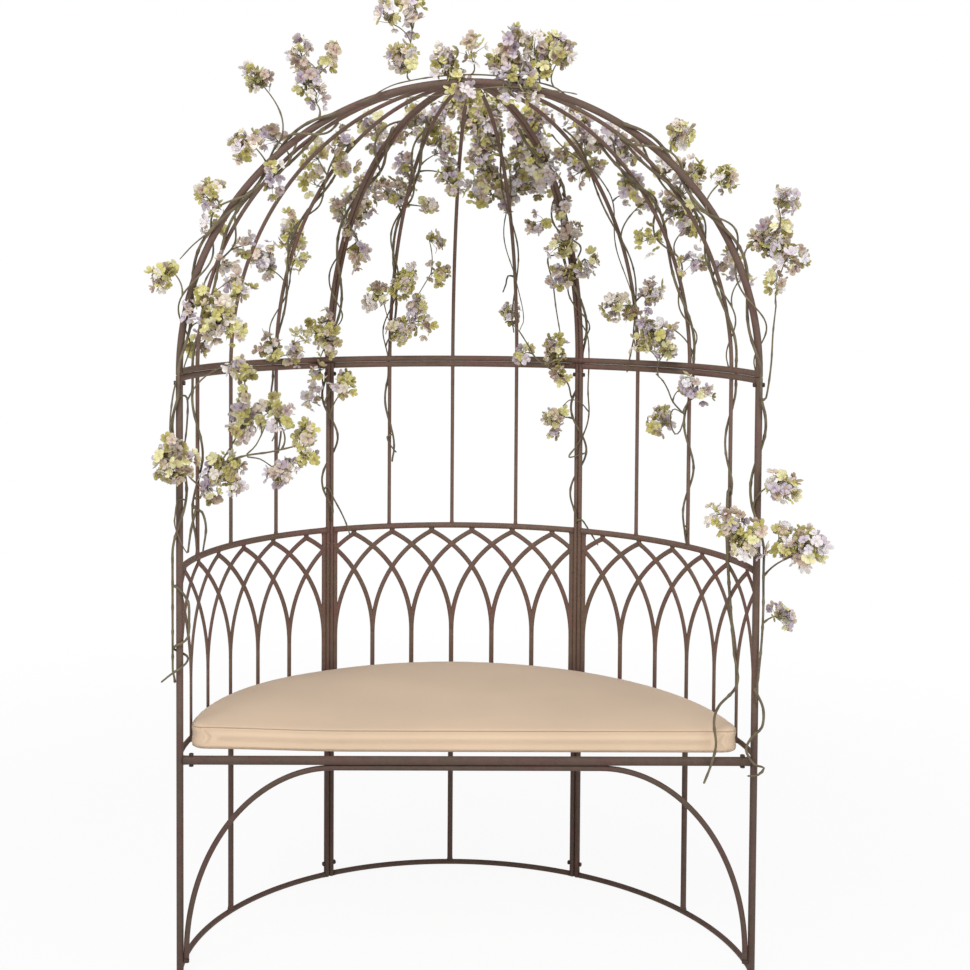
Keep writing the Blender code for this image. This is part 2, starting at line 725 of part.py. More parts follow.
def add_garland(name, carrier, stations, sprays, parent):
    """A stem wound round its carrier with lumps of blossom on twigs, as one body.

    A spray is a length along the carrier, its places outwards and sideways, and its radius. Its twig starts
    at the nearest point of the stem from which it can leave without crossing the bar.
    """
    low, low_turn = stations[0]
    places = [(low - STEM_END_LENGTH, low_turn), *wind(stations)]
    offsets, stem = [], []
    for i, (along, turn) in enumerate(places):
        reach = carrier.stem_reach if i else carrier.end_reach
        offset = reach * np.array([math.cos(turn * math.pi / 2), math.sin(turn * math.pi / 2)])
        offsets.append(offset)
        stem.append(carrier.point(along, *offset))
    pieces = [tube(stem, STEM_D, STEM_SIDES, carrier.sideways)]
    for along, out, side, radius in sprays:
        centre = carrier.point(along, out, side)
        free = [stem[i] for i in range(1, len(stem)) if offsets[i] @ (out, side) >= carrier.stem_reach**2]
        start = min(free, key=lambda point: np.linalg.norm(point - centre))
        across = np.cross(centre - start, carrier.sideways)
        pieces.append(prism(start, centre, TWIG_D, 3, across / np.linalg.norm(across)))
        pieces.append(lump(centre, radius))
    add_welded(name, pieces, "blossom", parent)


def rod_garland(name, angle, stations, sprays, parent):
    """A garland on a rod and its rib, or on the pair of them at a panel joint."""
    outward, sideways = plan_frame(angle)
    if angle in JOINT_ANGLES:
        corner = math.hypot(GAP / 2 + EDGE_RIB_D, EDGE_RIB_D / 2)
        flat = STILE_D / 2
    else:
        corner = RIB_D / 2 / math.cos(math.pi / 6)
        flat = ROD_D / 2 if stations[0][0] < 0 else RIB_D / 2
    add_garland(name, Carrier(outward, sideways, corner, flat), stations, sprays, parent)


def rail_pass(turn):
    """The straight stretch of a stem where it passes the two rails at the spring of the dome."""
    return [(-RAIL_PASS_BELOW, turn), (RAIL_PASS_ABOVE, turn)]


def outside(along, side, radius):
    """A spray close outside the shell."""
    return (along, radius + SPRAY_CLEARANCE, side, radius)


def inside(along, side, radius):
    """A spray close inside the shell."""
    return (along, -radius - SPRAY_CLEARANCE, side, radius)


def make_garlands(parent):
    """Stems wound round the posts, rods, ribs and hoop, with sprays of blossom."""
    post_corner = POST_D / 2 / math.cos(math.pi / 12)
    back_rail = BACK_RAIL_Z - DOME_Z
    left = [(back_rail - 0.22, -4), (back_rail - BACK_RAIL_PASS, -4), (back_rail + BACK_RAIL_PASS, -4)]
    left += [*rail_pass(1), (0.70, 9)]
    sprays = [(-0.19, 0.01, 0.058, 0.045), (0.19, 0.075, 0.0, 0.032), (0.13, -0.065, 0.02, 0.048)]
    sprays += [(0.38, 0.06, 0.0, 0.032), (0.50, 0.065, 0.0, 0.035)]
    sprays += [(0.60, 0.16, 0.0, 0.034), (0.69, 0.10, 0.0, 0.045)]
    add_garland("garland_post_left", Carrier(LEFT, FRONT, post_corner, POST_D / 2), left, sprays, parent)

    right = [(back_rail - 0.26, -3), (back_rail - BACK_RAIL_PASS, -4), (back_rail + BACK_RAIL_PASS, -4)]
    right += [*rail_pass(1), (0.66, 9)]
    sprays = [(-0.25, 0.045, 0.04, 0.04), (-0.38, 0.10, 0.03, 0.05), (-0.36, -0.03, 0.065, 0.045)]
    sprays += [(-0.54, 0.055, 0.0, 0.032), (0.27, 0.085, 0.0, 0.05)]
    sprays += [(0.42, 0.06, 0.0, 0.033), (0.55, 0.06, 0.0, 0.033)]
    add_garland("garland_post_right", Carrier(RIGHT, FRONT, post_corner, POST_D / 2), right, sprays, parent)

    crown = [(0.78, 1), (0.86, 0), (1.18, 0), (1.24, -1)]
    sprays = [(0.86, 0.165, 0.0, 0.036), (0.865, 0.065, 0.0, 0.036), (0.95, 0.05, 0.0, 0.034)]
    sprays += [(1.08, 0.06, 0.0, 0.044), (1.18, 0.085, 0.0, 0.042)]
    add_garland("garland_crown", Carrier(LEFT, FRONT, post_corner, POST_D / 2), crown, sprays, parent)

    rod_sprays = [(-0.235, -0.065, 0.0, 0.038), (-0.11, -0.11, 0.0, 0.038), (-0.155, -0.26, 0.0, 0.034)]
    rod_sprays += [(-0.235, -0.205, 0.0, 0.034), outside(0.32, 0.02, 0.036), outside(0.55, -0.02, 0.038)]
    rod_garland("garland_rod_left", 15, [(-0.385, -5), *rail_pass(0), (0.66, 7)], rod_sprays, parent)

    rod_sprays = [inside(0.02, 0.01, 0.036), outside(0.30, 0.03, 0.038), outside(0.52, -0.03, 0.040)]
    rod_garland("garland_rib_left", 45, [(-0.20, -3), *rail_pass(0), (0.62, 7)], rod_sprays, parent)

    rod_sprays = [inside(-0.06, 0.01, 0.032), inside(0.05, -0.04, 0.036), outside(0.40, 0.03, 0.042)]
    rod_sprays += [outside(0.62, -0.02, 0.042)]
    rod_garland("garland_joint_left", 60, [(-0.385, -6), *rail_pass(0), (0.70, 7)], rod_sprays, parent)

    rod_sprays = [inside(0.08, 0.02, 0.034), inside(0.20, 0.02, 0.036), outside(0.42, -0.03, 0.042)]
    rod_sprays += [outside(0.62, 0.03, 0.044)]
    rod_garland("garland_rod_back_left", 75, [(-0.24, -3), *rail_pass(0), (0.70, 7)], rod_sprays, parent)

    rod_sprays = [outside(0.12, -0.02, 0.030), outside(0.44, 0.03, 0.044), outside(0.62, -0.03, 0.044)]
    rod_garland("garland_rod_back_right", 105, [(0.10, 3), (0.70, 9)], rod_sprays, parent)

    rod_sprays = [inside(-0.16, -0.05, 0.038), inside(0.02, -0.05, 0.036), inside(0.24, -0.02, 0.036)]
    rod_sprays += [inside(0.34, 0.0, 0.042), outside(0.64, -0.02, 0.042)]
    rod_garland("garland_joint_right", 120, [(-0.385, -6), *rail_pass(0), (0.70, 7)], rod_sprays, parent)

    rod_sprays = [inside(0.15, -0.03, 0.034), outside(0.42, 0.03, 0.042), outside(0.56, -0.02, 0.040)]
    rod_garland("garland_rib_right", 135, [(0.07, 3), (0.68, 9)], rod_sprays, parent)

    rod_sprays = [inside(-0.14, -0.05, 0.036), inside(-0.05, 0.04, 0.034), inside(0.07, -0.05, 0.044)]
    rod_sprays += [outside(0.36, 0.02, 0.040), outside(0.54, -0.02, 0.038)]
    rod_garland("garland_rod_right", 150, [(-0.385, -6), *rail_pass(0), (0.62, 7)], rod_sprays, parent)

    rod_sprays = [outside(0.24, -0.02, 0.036), outside(0.46, 0.02, 0.040)]
    rod_garland("garland_rod_far_right", 165, [(-0.26, -3), *rail_pass(0), (0.62, 7)], rod_sprays, parent)


def main():
    clear_scene()
    parent = front_centre()
    make_base(parent)
    make_joint_uprights(parent)
    make_back(parent)
    make_dome(parent)
    make_front(parent)
    make_crown(parent)
    make_seat(parent)
    make_cushion(parent)
    make_joint_bolts(parent)
    make_garlands(parent)


if __name__ == "__main__":
    main()
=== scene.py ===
"""Finish of a half-round metal garden arbour: painted bars, a sewn cushion and blossom garlands.

Metres, +Z up, front towards -Y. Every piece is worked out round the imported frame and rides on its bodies.
In plan the back is half a circle: an angle of 0 degrees is the left post and 180 degrees the right post.
"""

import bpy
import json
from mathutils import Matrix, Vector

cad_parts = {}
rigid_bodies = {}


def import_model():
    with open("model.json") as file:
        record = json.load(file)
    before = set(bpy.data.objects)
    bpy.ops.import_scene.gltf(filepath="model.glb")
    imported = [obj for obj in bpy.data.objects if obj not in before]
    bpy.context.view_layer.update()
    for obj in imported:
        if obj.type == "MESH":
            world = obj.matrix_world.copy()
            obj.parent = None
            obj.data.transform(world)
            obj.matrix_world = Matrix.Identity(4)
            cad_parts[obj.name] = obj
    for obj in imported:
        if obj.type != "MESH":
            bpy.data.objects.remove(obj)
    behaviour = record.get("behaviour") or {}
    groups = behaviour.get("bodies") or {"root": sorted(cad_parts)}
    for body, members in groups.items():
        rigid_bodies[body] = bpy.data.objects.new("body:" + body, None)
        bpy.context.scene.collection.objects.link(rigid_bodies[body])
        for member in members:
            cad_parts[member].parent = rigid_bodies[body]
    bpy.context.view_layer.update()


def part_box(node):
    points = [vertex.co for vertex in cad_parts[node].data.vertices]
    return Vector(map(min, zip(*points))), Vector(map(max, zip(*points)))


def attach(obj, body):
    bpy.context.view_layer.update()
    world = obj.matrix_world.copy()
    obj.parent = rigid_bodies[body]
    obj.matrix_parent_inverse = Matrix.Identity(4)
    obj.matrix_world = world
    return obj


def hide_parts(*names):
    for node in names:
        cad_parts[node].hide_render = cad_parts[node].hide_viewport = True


bl_info = {
    "name": "Garden Arbour Finish",
    "version": (1, 0, 0),
    "blender": (4, 5, 0),
    "location": "View3D > Sidebar > Arbour",
    "description": "Painted bars, sewn cushion and blossom garlands of a half-round garden arbour",
    "category": "Add Mesh",
}

import json
import math

import bpy
import numpy as np
from bpy.props import FloatProperty, FloatVectorProperty, PointerProperty
from mathutils import Matrix, Vector
from mathutils.bvhtree import BVHTree

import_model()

UP = np.array([0.0, 0.0, 1.0])
ACROSS_FRONT = np.array([0.0, 1.0, 0.0])


# Places read from the frame


def low(node, axis):
    """Lowest coordinate of a frame node along an axis."""
    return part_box(node)[0][axis]


def high(node, axis):
    """Highest coordinate of a frame node along an axis."""
    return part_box(node)[1][axis]


def middle(node, axis):
    """Middle of a frame node along an axis."""
    return (low(node, axis) + high(node, axis)) / 2


def thickness(node, axis):
    """Size of a frame node along an axis."""
    return high(node, axis) - low(node, axis)


HALF_WIDTH = middle("post_right", 0)
FRONT_Y = middle("post_right", 1)
POST_D = thickness("post_right", 0)
SEAM_Z = high("post_right", 2)
DOME_Z = high("hoop", 2) - POST_D / 2 - HALF_WIDTH
BASE_RAIL_Z = middle("base_rail_middle", 2)
BASE_RAIL_D = thickness("base_rail_middle", 2)
SEAT_RAIL_Z = middle("seat_rail_middle", 2)
SEAT_RAIL_D = thickness("seat_rail_middle", 2)
BACK_RAIL_Z = middle("back_rail_middle", 2)
BACK_RAIL_D = thickness("back_rail_middle", 2)
FRONT_RAIL_Z = middle("front_rail", 2)
FRONT_RAIL_D = thickness("front_rail", 2)
LEG_D = thickness("leg_middle", 0)
SEAT_TOP_Z = high("seat_rail_middle", 2)
TOP_RAIL_TOP_Z = high("upper_rods_middle", 2)
HUB_Z = middle("crown_hub", 2)
HUB_THICKNESS = thickness("crown_hub", 2)
HUB_RADIUS = thickness("crown_hub", 0) / 2

# Cushion: its plan and edge, where its front edge droops, where its left end is plump, and its cloth. Scales
# are shares of the outline, measured from the middle that its rings shrink towards
CUSHION_FRONT_Y = low("seat_cushion", 1)
CUSHION_RADIUS = high("seat_cushion", 1) - FRONT_Y
CUSHION_SHIFT_X = middle("seat_cushion", 0)
CUSHION_BOTTOM_Z = low("seat_cushion", 2)
CUSHION_CORNER = 0.030
CUSHION_MIDDLE = 0.44
CUSHION_STEPS = 360
CUSHION_CORNER_POINTS = 25
CUSHION_BACK_POINTS = 121
CUSHION_UNDER_ROWS = 30
CUSHION_SIDE_ROWS = 9
CUSHION_TOP_ROWS = 34
CUSHION_HEART_SCALE = 0.06
CUSHION_FLAT_SCALE = 0.975
CUSHION_TOP_SCALE = 0.989
CUSHION_UNDER_EDGE = ((0.989, 0.0012), (0.997, 0.0035))
CUSHION_UPPER_EDGE = (0.997, 0.0028)
CUSHION_TOP_RISE = 0.004
CUSHION_EDGE = 0.046
CUSHION_DROOP_REACH = 0.09
CUSHION_DROOP_START_X = -0.60
CUSHION_DROOP_RISE_X = 0.35
CUSHION_PLUMP_X = -0.28
CUSHION_PLUMP_REACH = 0.34
CLOTH_FRAMES = 20
SEAM_SCALE = 0.998
LOWER_SEAM_HOLD = 0.010
UPPER_SEAM_HOLD = 0.009
SEAM_HOLD_STRENGTH = 1.4
UNDERSIDE_HOLD = 0.002
HOLD_STEPS = 20
SEAM_GROOVE = 0.004
WELT_STAND = 0.0002
WELT_STEPS = 900
WELT_SIDES = 8
# How dark the seam ridges are: painted shade of the crease along each seam
SEAM_SHADE_TONE = 0.62

# Panels, arches, deck, hub and bolts
JOINT_ANGLES = (0.0, 60.0, 120.0, 180.0)
PANELS = ("left", "middle", "right")
PANEL_BAYS = 4
JOINT_GAP = 0.0003
TRACERY_BAYS = 6
ARCH_SPAN_BAYS = 3
DECK_BARS = 5
DECK_FRONT_INSET = 0.10
DECK_BACK_INSET = 0.142
DECK_BEARERS = 3
DECK_BEARER_INSET = 0.362
DECK_BEARER_DROP = 0.0063
HUB_EDGE = 0.002
HUB_CORE_SCALE = 0.5
HUB_ARC_POINTS = 33
HUB_CHORD_POINTS = 11
BOLT_SHANK_RADIUS = 0.00275
BOLT_TURN = (0.31, 0.52, 0.23)
BOLT_HEAD_LENGTH = 0.004
NUT_LENGTH = 0.005
REST_SCREW_DEPTH = 0.010
REST_SCREW_HEAD_LENGTH = 0.012
HEXAGON_SEAT = 0.97
HEXAGON_TIP = 0.84
HEXAGON_SIDES = 36

# Welded bars: how far from a rail's axis an upright starts, as a share of the rail's diameter, how much more
# of its radius a weld adds at a bar's end, and the points along a bar
WELD_SEAT = 0.4
WELD_SWELL = 0.28
RAIL_SWELL = 0.12
ARCH_SWELL = 0.2
DECK_SWELL = 0.15
FRONT_RAIL_SWELL = 0.06
STRAIGHT_POINTS = 9
UPRIGHT_POINTS = 5
POST_POINTS = 6
RAIL_POINTS = 49
ARCH_POINTS = 21
QUARTER_POINTS = 41
HOOP_POINTS = 97

# The photograph's camera, in metres, radians and pixels of its square frame
PHOTO_SIZE = 970
CAMERA_SENSOR = 36.0
CAMERA_FOCUS_PX = 1533.76
CAMERA_AXIS_PX = (370.0, 338.95)
CAMERA_PLACE = (-0.2338, -4.0309, 1.5615)
CAMERA_YAW = 0.0039
CAMERA_PITCH = 0.04
CAMERA_ROLL = 0.0037

# Floor and lights
FLOOR_RADIUS = 30.0
FLOOR_WHITE = 0.92
FLOOR_FADE = (0.9, 3.0)
WHITE = (1.0, 1.0, 1.0)
BLACK = (0.0, 0.0, 0.0)
KEY_PLACE = (-2.0, -4.2, 5.2)
KEY_SIZE = 3.4
FILL_PLACE = (3.6, -4.0, 2.6)
FILL_SIZE = 3.0
LIGHT_TARGET = (0.0, -0.3, 0.9)

# Garlands: the frame's bars and stems as they are met, then the finished stems, knots and twigs
POST_CORNERS = 12
ROD_CORNERS = 6
STEM_D = 0.0055
BARK_D = 0.0070
SECOND_BARK_D = 0.0050
BARK_FULL_LENGTH = 0.90
STEM_SIDES = 7
THIN_STEM_SIDES = 6
STALK_SIDES = 4
STEM_STEP = 0.008
STEM_TAPER = 0.6
LONG_TAPER = 0.70
STALK_TAPER = 0.8
STEM_LEAN = np.array([0.31, -0.52, 0.17])
STEM_CORNER_SIDES = 4
STEM_CLEARANCE = 0.0006
STEM_END_LENGTH = 0.03
MOST_STEM_TURN = 0.8
KNOT_SPACING = 0.055
KNOT_SWELL = 0.35
KNOT_WIDTH = 0.004
RAIL_REACH = 0.06
WANDER = 0.010
WANDER_TURN = 21.0
WANDER_PHASE = 5.0
SECOND_PHASE = 2.6
BARK_GREEN = 0.15
LOOSE_GREEN = 0.25
SECOND_GREEN = 0.40
TWIG_GREEN = 0.5
STALK_GREEN = 1.0
TWIG_D = 0.0042
TWIG_TIP_D = 0.0024
TWIG_COST = 1.25
TWIG_CLIMB = 0.75
TWIG_BEND = 0.5
TWIG_CROOK = 0.30
TWIG_SHARE = 0.85
TWIG_POINTS = 10
TWIG_BARE_POINTS = 3
STALK_D = 0.0013
STALK_POINTS = 4
STALK_BEND = 0.25
SECOND_STEM_FROM = 0.03

# Blossom: where a spray stands, and how its florets are crowded, turned, sized and coloured. A draw is the
# least value and the span above it
SPRAY_CLEARANCE = 0.012
SPRAY_REACH = 0.031
SPRAY_REACH_DRAW = (0.80, 0.40)
SPRAY_DEPTH = 0.022
SPRAY_BESIDE_STEM = 0.022
SPRAY_PULL = 0.055
SPRAY_HEART = 0.45
SPRAY_AWAY = 0.30
SPRAY_RISE = 0.20
SPRAY_CROWDING = 0.40
SPRAY_SQUASH = (0.86, 0.86, 1.0)
SPRAY_TINT = (0.52, 0.13)
SPRAY_TINT_LIMITS = (0.25, 0.80)
PATCH_TINT = 0.22
FLORET_TINT = 0.30
FLORET_TONE_POWER = 0.85
FLORET_TUMBLE = 0.6
FLORET_LEAN = np.array([0.23, 0.41, 0.88])
FLORET_SIZE = 0.0255
FLORET_SIZE_DRAW = (0.66, 0.55)
FLORETS_AT_30_MM = 14
FLORET_COUNT_DRAW = (0.85, 0.3)
GARLAND_SEED = 7

# The floret kinds as petals, cup and width, and one petal: its rim from the heart and back as places along
# and across, its fold, and its raised middle as a place and a height
FLORET_KINDS = ((5, 0.22, 0.46), (4, 0.42, 0.52), (5, 0.70, 0.42))
PETAL_RIM = ((0.0, 0.0), (0.35, -0.72), (0.80, -1.0), (1.0, -0.45), (1.0, 0.45), (0.80, 1.0), (0.35, 0.72))
PETAL_FOLD = 0.05
PETAL_MIDDLE = (0.60, 0.11)
PETAL_TURN = 0.12
PETAL_GROWTH = 0.10
PETAL_LIFT = 0.03

BACK_RAIL = BACK_RAIL_Z - DOME_Z
BACK_RAIL_PASS = ((BACK_RAIL - 0.03, -4), (BACK_RAIL + 0.03, -4))
RAIL_PASS = ((-0.052, 0), (0.018, 0))
POST_RAIL_PASS = ((-0.052, 1), (0.018, 1))


def outside(along, side, radius):
    """A spray close outside the shell."""
    return (along, radius + SPRAY_CLEARANCE, side, radius)


def inside(along, side, radius):
    """A spray close inside the shell."""
    return (along, -radius - SPRAY_CLEARANCE, side, radius)


# Each garland's angle round the plan, the stations of its stem as a length from the dome's spring and
# quarter turns, and its main sprays as a length, places outwards and sideways, and a radius, as its frame
# node has them
GARLANDS = {
    "garland_post_left": (0.0, ((BACK_RAIL - 0.22, -4), *BACK_RAIL_PASS, *POST_RAIL_PASS, (0.70, 9)), (
        (-0.19, 0.01, 0.058, 0.045), (0.19, 0.075, 0.0, 0.032), (0.13, -0.065, 0.02, 0.048),
        (0.38, 0.06, 0.0, 0.032), (0.50, 0.065, 0.0, 0.035), (0.60, 0.16, 0.0, 0.034),
        (0.69, 0.10, 0.0, 0.045))),
    "garland_post_right": (180.0, ((BACK_RAIL - 0.26, -3), *BACK_RAIL_PASS, *POST_RAIL_PASS, (0.66, 9)), (
        (-0.25, 0.045, 0.04, 0.04), (-0.38, 0.10, 0.03, 0.05), (-0.36, -0.03, 0.065, 0.045),
        (-0.54, 0.055, 0.0, 0.032), (0.27, 0.085, 0.0, 0.05), (0.42, 0.06, 0.0, 0.033),
        (0.55, 0.06, 0.0, 0.033))),
    "garland_crown": (0.0, ((0.78, 1), (0.86, 0), (1.18, 0), (1.24, -1)), (
        (0.86, 0.165, 0.0, 0.036), (0.865, 0.065, 0.0, 0.036), (0.95, 0.05, 0.0, 0.034),
        (1.08, 0.06, 0.0, 0.044), (1.18, 0.085, 0.0, 0.042))),
    "garland_rod_left": (15.0, ((-0.385, -5), *RAIL_PASS, (0.66, 7)), (
        (-0.235, -0.065, 0.0, 0.038), (-0.11, -0.11, 0.0, 0.038), (-0.155, -0.26, 0.0, 0.034),
        (-0.235, -0.205, 0.0, 0.034), outside(0.32, 0.02, 0.036), outside(0.55, -0.02, 0.038))),
    "garland_rib_left": (45.0, ((-0.20, -3), *RAIL_PASS, (0.62, 7)), (
        inside(0.02, 0.01, 0.036), outside(0.30, 0.03, 0.038), outside(0.52, -0.03, 0.040))),
    "garland_joint_left": (60.0, ((-0.385, -6), *RAIL_PASS, (0.70, 7)), (
        inside(-0.06, 0.01, 0.032), inside(0.05, -0.04, 0.036), outside(0.40, 0.03, 0.042),
        outside(0.62, -0.02, 0.042))),
    "garland_rod_back_left": (75.0, ((-0.24, -3), *RAIL_PASS, (0.70, 7)), (
        inside(0.08, 0.02, 0.034), inside(0.20, 0.02, 0.036), outside(0.42, -0.03, 0.042),
        outside(0.62, 0.03, 0.044))),
    "garland_rod_back_right": (105.0, ((0.10, 3), (0.70, 9)), (
        outside(0.12, -0.02, 0.030), outside(0.44, 0.03, 0.044), outside(0.62, -0.03, 0.044))),
    "garland_joint_right": (120.0, ((-0.385, -6), *RAIL_PASS, (0.70, 7)), (
        inside(-0.16, -0.05, 0.038), inside(0.02, -0.05, 0.036), inside(0.24, -0.02, 0.036),
        inside(0.34, 0.0, 0.042), outside(0.64, -0.02, 0.042))),
    "garland_rib_right": (135.0, ((0.07, 3), (0.68, 9)), (
        inside(0.15, -0.03, 0.034), outside(0.42, 0.03, 0.042), outside(0.56, -0.02, 0.040))),
    "garland_rod_right": (150.0, ((-0.385, -6), *RAIL_PASS, (0.62, 7)), (
        inside(-0.14, -0.05, 0.036), inside(-0.05, 0.04, 0.034), inside(0.07, -0.05, 0.044),
        outside(0.36, 0.02, 0.040), outside(0.54, -0.02, 0.038))),
    "garland_rod_far_right": (165.0, ((-0.26, -3), *RAIL_PASS, (0.62, 7)), (
        outside(0.24, -0.02, 0.036), outside(0.46, 0.02, 0.040))),
}

# Limbs and loose ends of the stems: the thickness of each, and its points as a pixel of the photograph and
# how far in front of the garland's carrier each lies
LOOSE_STEMS = {
    "garland_post_left": (
        (0.0060, ((178, 588, 0.015), (188, 602, 0.006), (189, 622, 0.004), (188, 637, 0.007),
                  (182, 643, 0.014), (175.5, 646, 0.009), (174, 649, -0.004), (180, 652, -0.014),
                  (187, 656, -0.004), (187.5, 661, 0.007), (182, 667, 0.014), (171.5, 674, 0.016),
                  (161.5, 682, 0.016))),
        (0.0040, ((177, 380, 0.012), (173, 395, 0.014), (170, 424, 0.016), (172, 441, 0.014),
                  (177, 458, 0.012))),
        (0.0034, ((178, 500, 0.014), (175, 516, 0.016), (175, 526, 0.018), (182, 545, 0.018),
                  (187, 553, 0.018))),
        (0.0046, ((187, 398, -0.012), (187, 424, -0.014), (184, 450, -0.012))),
        (0.0036, ((204, 236, 0.012), (192, 246, 0.014), (180, 259, 0.016))),
    ),
    "garland_post_right": (
        (0.0062, ((755, 690, 0.014), (763, 708, 0.016), (762, 727, 0.016), (752, 737, 0.020),
                  (746, 750, 0.022), (754, 764, 0.022), (764, 768, 0.020), (758, 775, 0.020),
                  (748, 776, 0.020))),
        (0.0044, ((766, 398, 0.004), (771, 366, 0.004), (773, 333, 0.004), (776, 306, 0.004))),
    ),
    "garland_rod_left": (
        (0.0054, ((200, 498, 0.008), (207, 480, 0.014), (219, 465, 0.024), (244, 456, 0.040),
                  (270, 452, 0.055), (296, 446, 0.067))),
        (0.0040, ((221, 462, 0.026), (230, 448, 0.030), (242, 427, 0.034))),
        (0.0034, ((247, 454, 0.042), (256, 445, 0.045), (265, 427, 0.050))),
        (0.0034, ((248, 457, 0.042), (260, 459, 0.050), (271, 466, 0.056))),
        (0.0062, ((196, 508, 0.008), (191, 530, 0.012), (188, 552, 0.012))),
        (0.0058, ((202, 512, 0.008), (206, 528, 0.010), (203, 551, 0.012))),
        (0.0044, ((196, 483, 0.010), (188, 475, 0.010), (182, 462, 0.010))),
    ),
    "garland_rib_left": (
        (0.0044, ((276, 428, 0.010), (275, 435, 0.012), (272, 441, 0.012))),
    ),
    "garland_joint_left": (
        (0.0044, ((328, 487, 0.012), (334, 499, 0.014), (341, 512, 0.016), (346, 523, 0.018),
                  (350, 535, 0.018))),
    ),
    "garland_rod_back_left": (
        (0.0044, ((387, 437, 0.012), (391, 446, 0.012), (396, 452, 0.012))),
    ),
    "garland_rod_back_right": (
        (0.0046, ((508, 276, 0.012), (506, 284, 0.012), (503, 292, 0.012))),
    ),
    "garland_joint_right": (
        (0.0040, ((569, 457, 0.014), (578, 444, 0.012), (586, 428, 0.012), (589, 412, 0.012),
                  (588, 390, 0.012), (589, 360, 0.014), (588, 338, 0.016), (583, 326, 0.018),
                  (577, 316, 0.020))),
        (0.0032, ((588, 411, 0.013), (580, 402, 0.020), (570, 400, 0.026), (563, 406, 0.030))),
        (0.0042, ((571, 396, 0.012), (568, 384, 0.016), (559, 374, 0.022), (546, 366, 0.028),
                  (535, 357, 0.032), (528, 345, 0.036), (519, 331, 0.036), (512, 324, 0.034))),
        (0.0040, ((548, 258, 0.014), (553, 284, 0.016), (556, 308, 0.014), (560, 332, 0.012))),
        (0.0044, ((582, 520, 0.012), (590, 532, 0.016), (598, 545, 0.018))),
    ),
    "garland_rib_right": (
        (0.0046, ((633, 316, 0.010), (636, 326, 0.012), (634, 338, 0.012), (631, 352, 0.012),
                  (627, 372, 0.014))),
    ),
    "garland_rod_right": (
        (0.0040, ((683, 413, 0.012), (673, 402, 0.018), (668, 390, 0.020), (663, 381, 0.024),
                  (656, 374, 0.026))),
        (0.0036, ((684, 419, 0.012), (680, 431, 0.016), (675, 434, 0.018), (671, 425, 0.018),
                  (671, 413, 0.020), (675, 409, 0.018), (682, 413, 0.014))),
        (0.0044, ((688, 526, 0.010), (685, 535, 0.012), (686, 543, 0.012))),
    ),
    "garland_rod_far_right": (
        (0.0072, ((728, 492, 0.010), (727, 540, 0.012), (730, 600, 0.020), (734, 650, 0.040),
                  (737, 684, 0.080), (719, 706, 0.140), (714, 722, 0.172), (716, 745, 0.182),
                  (711, 765, 0.184), (704, 783, 0.184))),
    ),
}

# Sprays of blossom: the pixel of the photograph at the middle of each
SPRAYS_TOP_LEFT = (
    (411, 6), (411, 25), (407, 61), (300, 52), (330, 58), (315, 99), (260, 82), (445, 67), (457, 84),
    (248, 145), (273, 170), (274, 189), (214, 193), (342, 142), (346, 163), (311, 184), (396, 140),
    (377, 151), (415, 122), (438, 153), (405, 165), (373, 182), (409, 178), (365, 191), (400, 195),
    (428, 208), (338, 210), (365, 214), (292, 220), (292, 239), (350, 233), (361, 251), (247, 245),
    (269, 249), (434, 241),
)
SPRAYS_TOP_RIGHT = (
    (458, 90), (449, 106), (472, 50), (516, 41), (513, 67), (536, 48), (557, 44), (566, 57), (541, 71),
    (511, 90), (486, 117), (490, 138), (470, 129), (527, 124), (539, 142), (573, 117), (582, 129),
    (596, 142), (612, 138), (447, 147), (449, 174), (484, 174), (516, 165), (536, 174), (562, 158),
    (578, 172), (596, 170), (621, 158), (507, 202), (630, 181), (647, 204), (564, 207), (539, 223),
    (571, 232), (587, 264), (569, 275), (647, 239), (670, 207), (683, 207), (690, 230), (690, 262),
    (670, 170), (686, 190), (683, 135), (727, 181), (784, 202), (784, 227), (761, 241), (773, 248),
    (793, 259), (777, 282), (743, 278), (653, 291),
)
SPRAYS_LEFT = (
    (164, 272), (186, 309), (209, 299), (235, 284), (245, 295), (229, 305), (219, 315), (211, 325),
    (235, 331), (196, 345), (237, 365), (245, 377), (172, 448), (178, 460), (190, 463), (172, 471),
    (162, 471), (243, 404), (239, 434), (257, 418), (269, 408), (283, 418), (306, 436), (304, 454),
    (290, 465), (277, 477), (215, 473), (231, 467), (209, 487), (233, 485), (265, 345), (273, 349),
    (310, 329), (326, 323), (298, 343), (328, 337), (318, 373), (342, 382), (344, 392), (314, 398),
    (379, 295), (372, 301), (397, 286), (393, 329), (403, 329), (417, 305), (423, 323), (409, 272),
    (437, 274), (298, 258), (259, 258), (267, 268), (358, 258), (227, 266),
)
SPRAYS_RIGHT = (
    (510, 315), (522, 354), (557, 349), (562, 377), (557, 419), (624, 307), (649, 295), (648, 322),
    (666, 330), (654, 337), (640, 342), (664, 352), (664, 422), (704, 394), (781, 484), (731, 524),
    (745, 540), (718, 516), (783, 530), (783, 548), (800, 556), (813, 548), (783, 618),
)
SPRAYS_CROWN = (
    (437, 111), (412, 111), (430, 123), (408, 126), (443, 137), (447, 150), (449, 172), (455, 183),
    (475, 121), (489, 120), (492, 130), (482, 138), (497, 141), (488, 150), (477, 158), (485, 172),
    (492, 179), (476, 192), (487, 192), (502, 186), (510, 194), (517, 162), (523, 178), (536, 188),
    (522, 120), (536, 115), (549, 119), (518, 132), (526, 136), (538, 146), (530, 156), (548, 170),
    (551, 183), (494, 66), (505, 72), (517, 70), (510, 85), (525, 88), (538, 69), (468, 96), (481, 104),
    (499, 108), (463, 112),
)
SPRAYS = SPRAYS_TOP_LEFT + SPRAYS_TOP_RIGHT + SPRAYS_LEFT + SPRAYS_RIGHT + SPRAYS_CROWN


# Surfaces


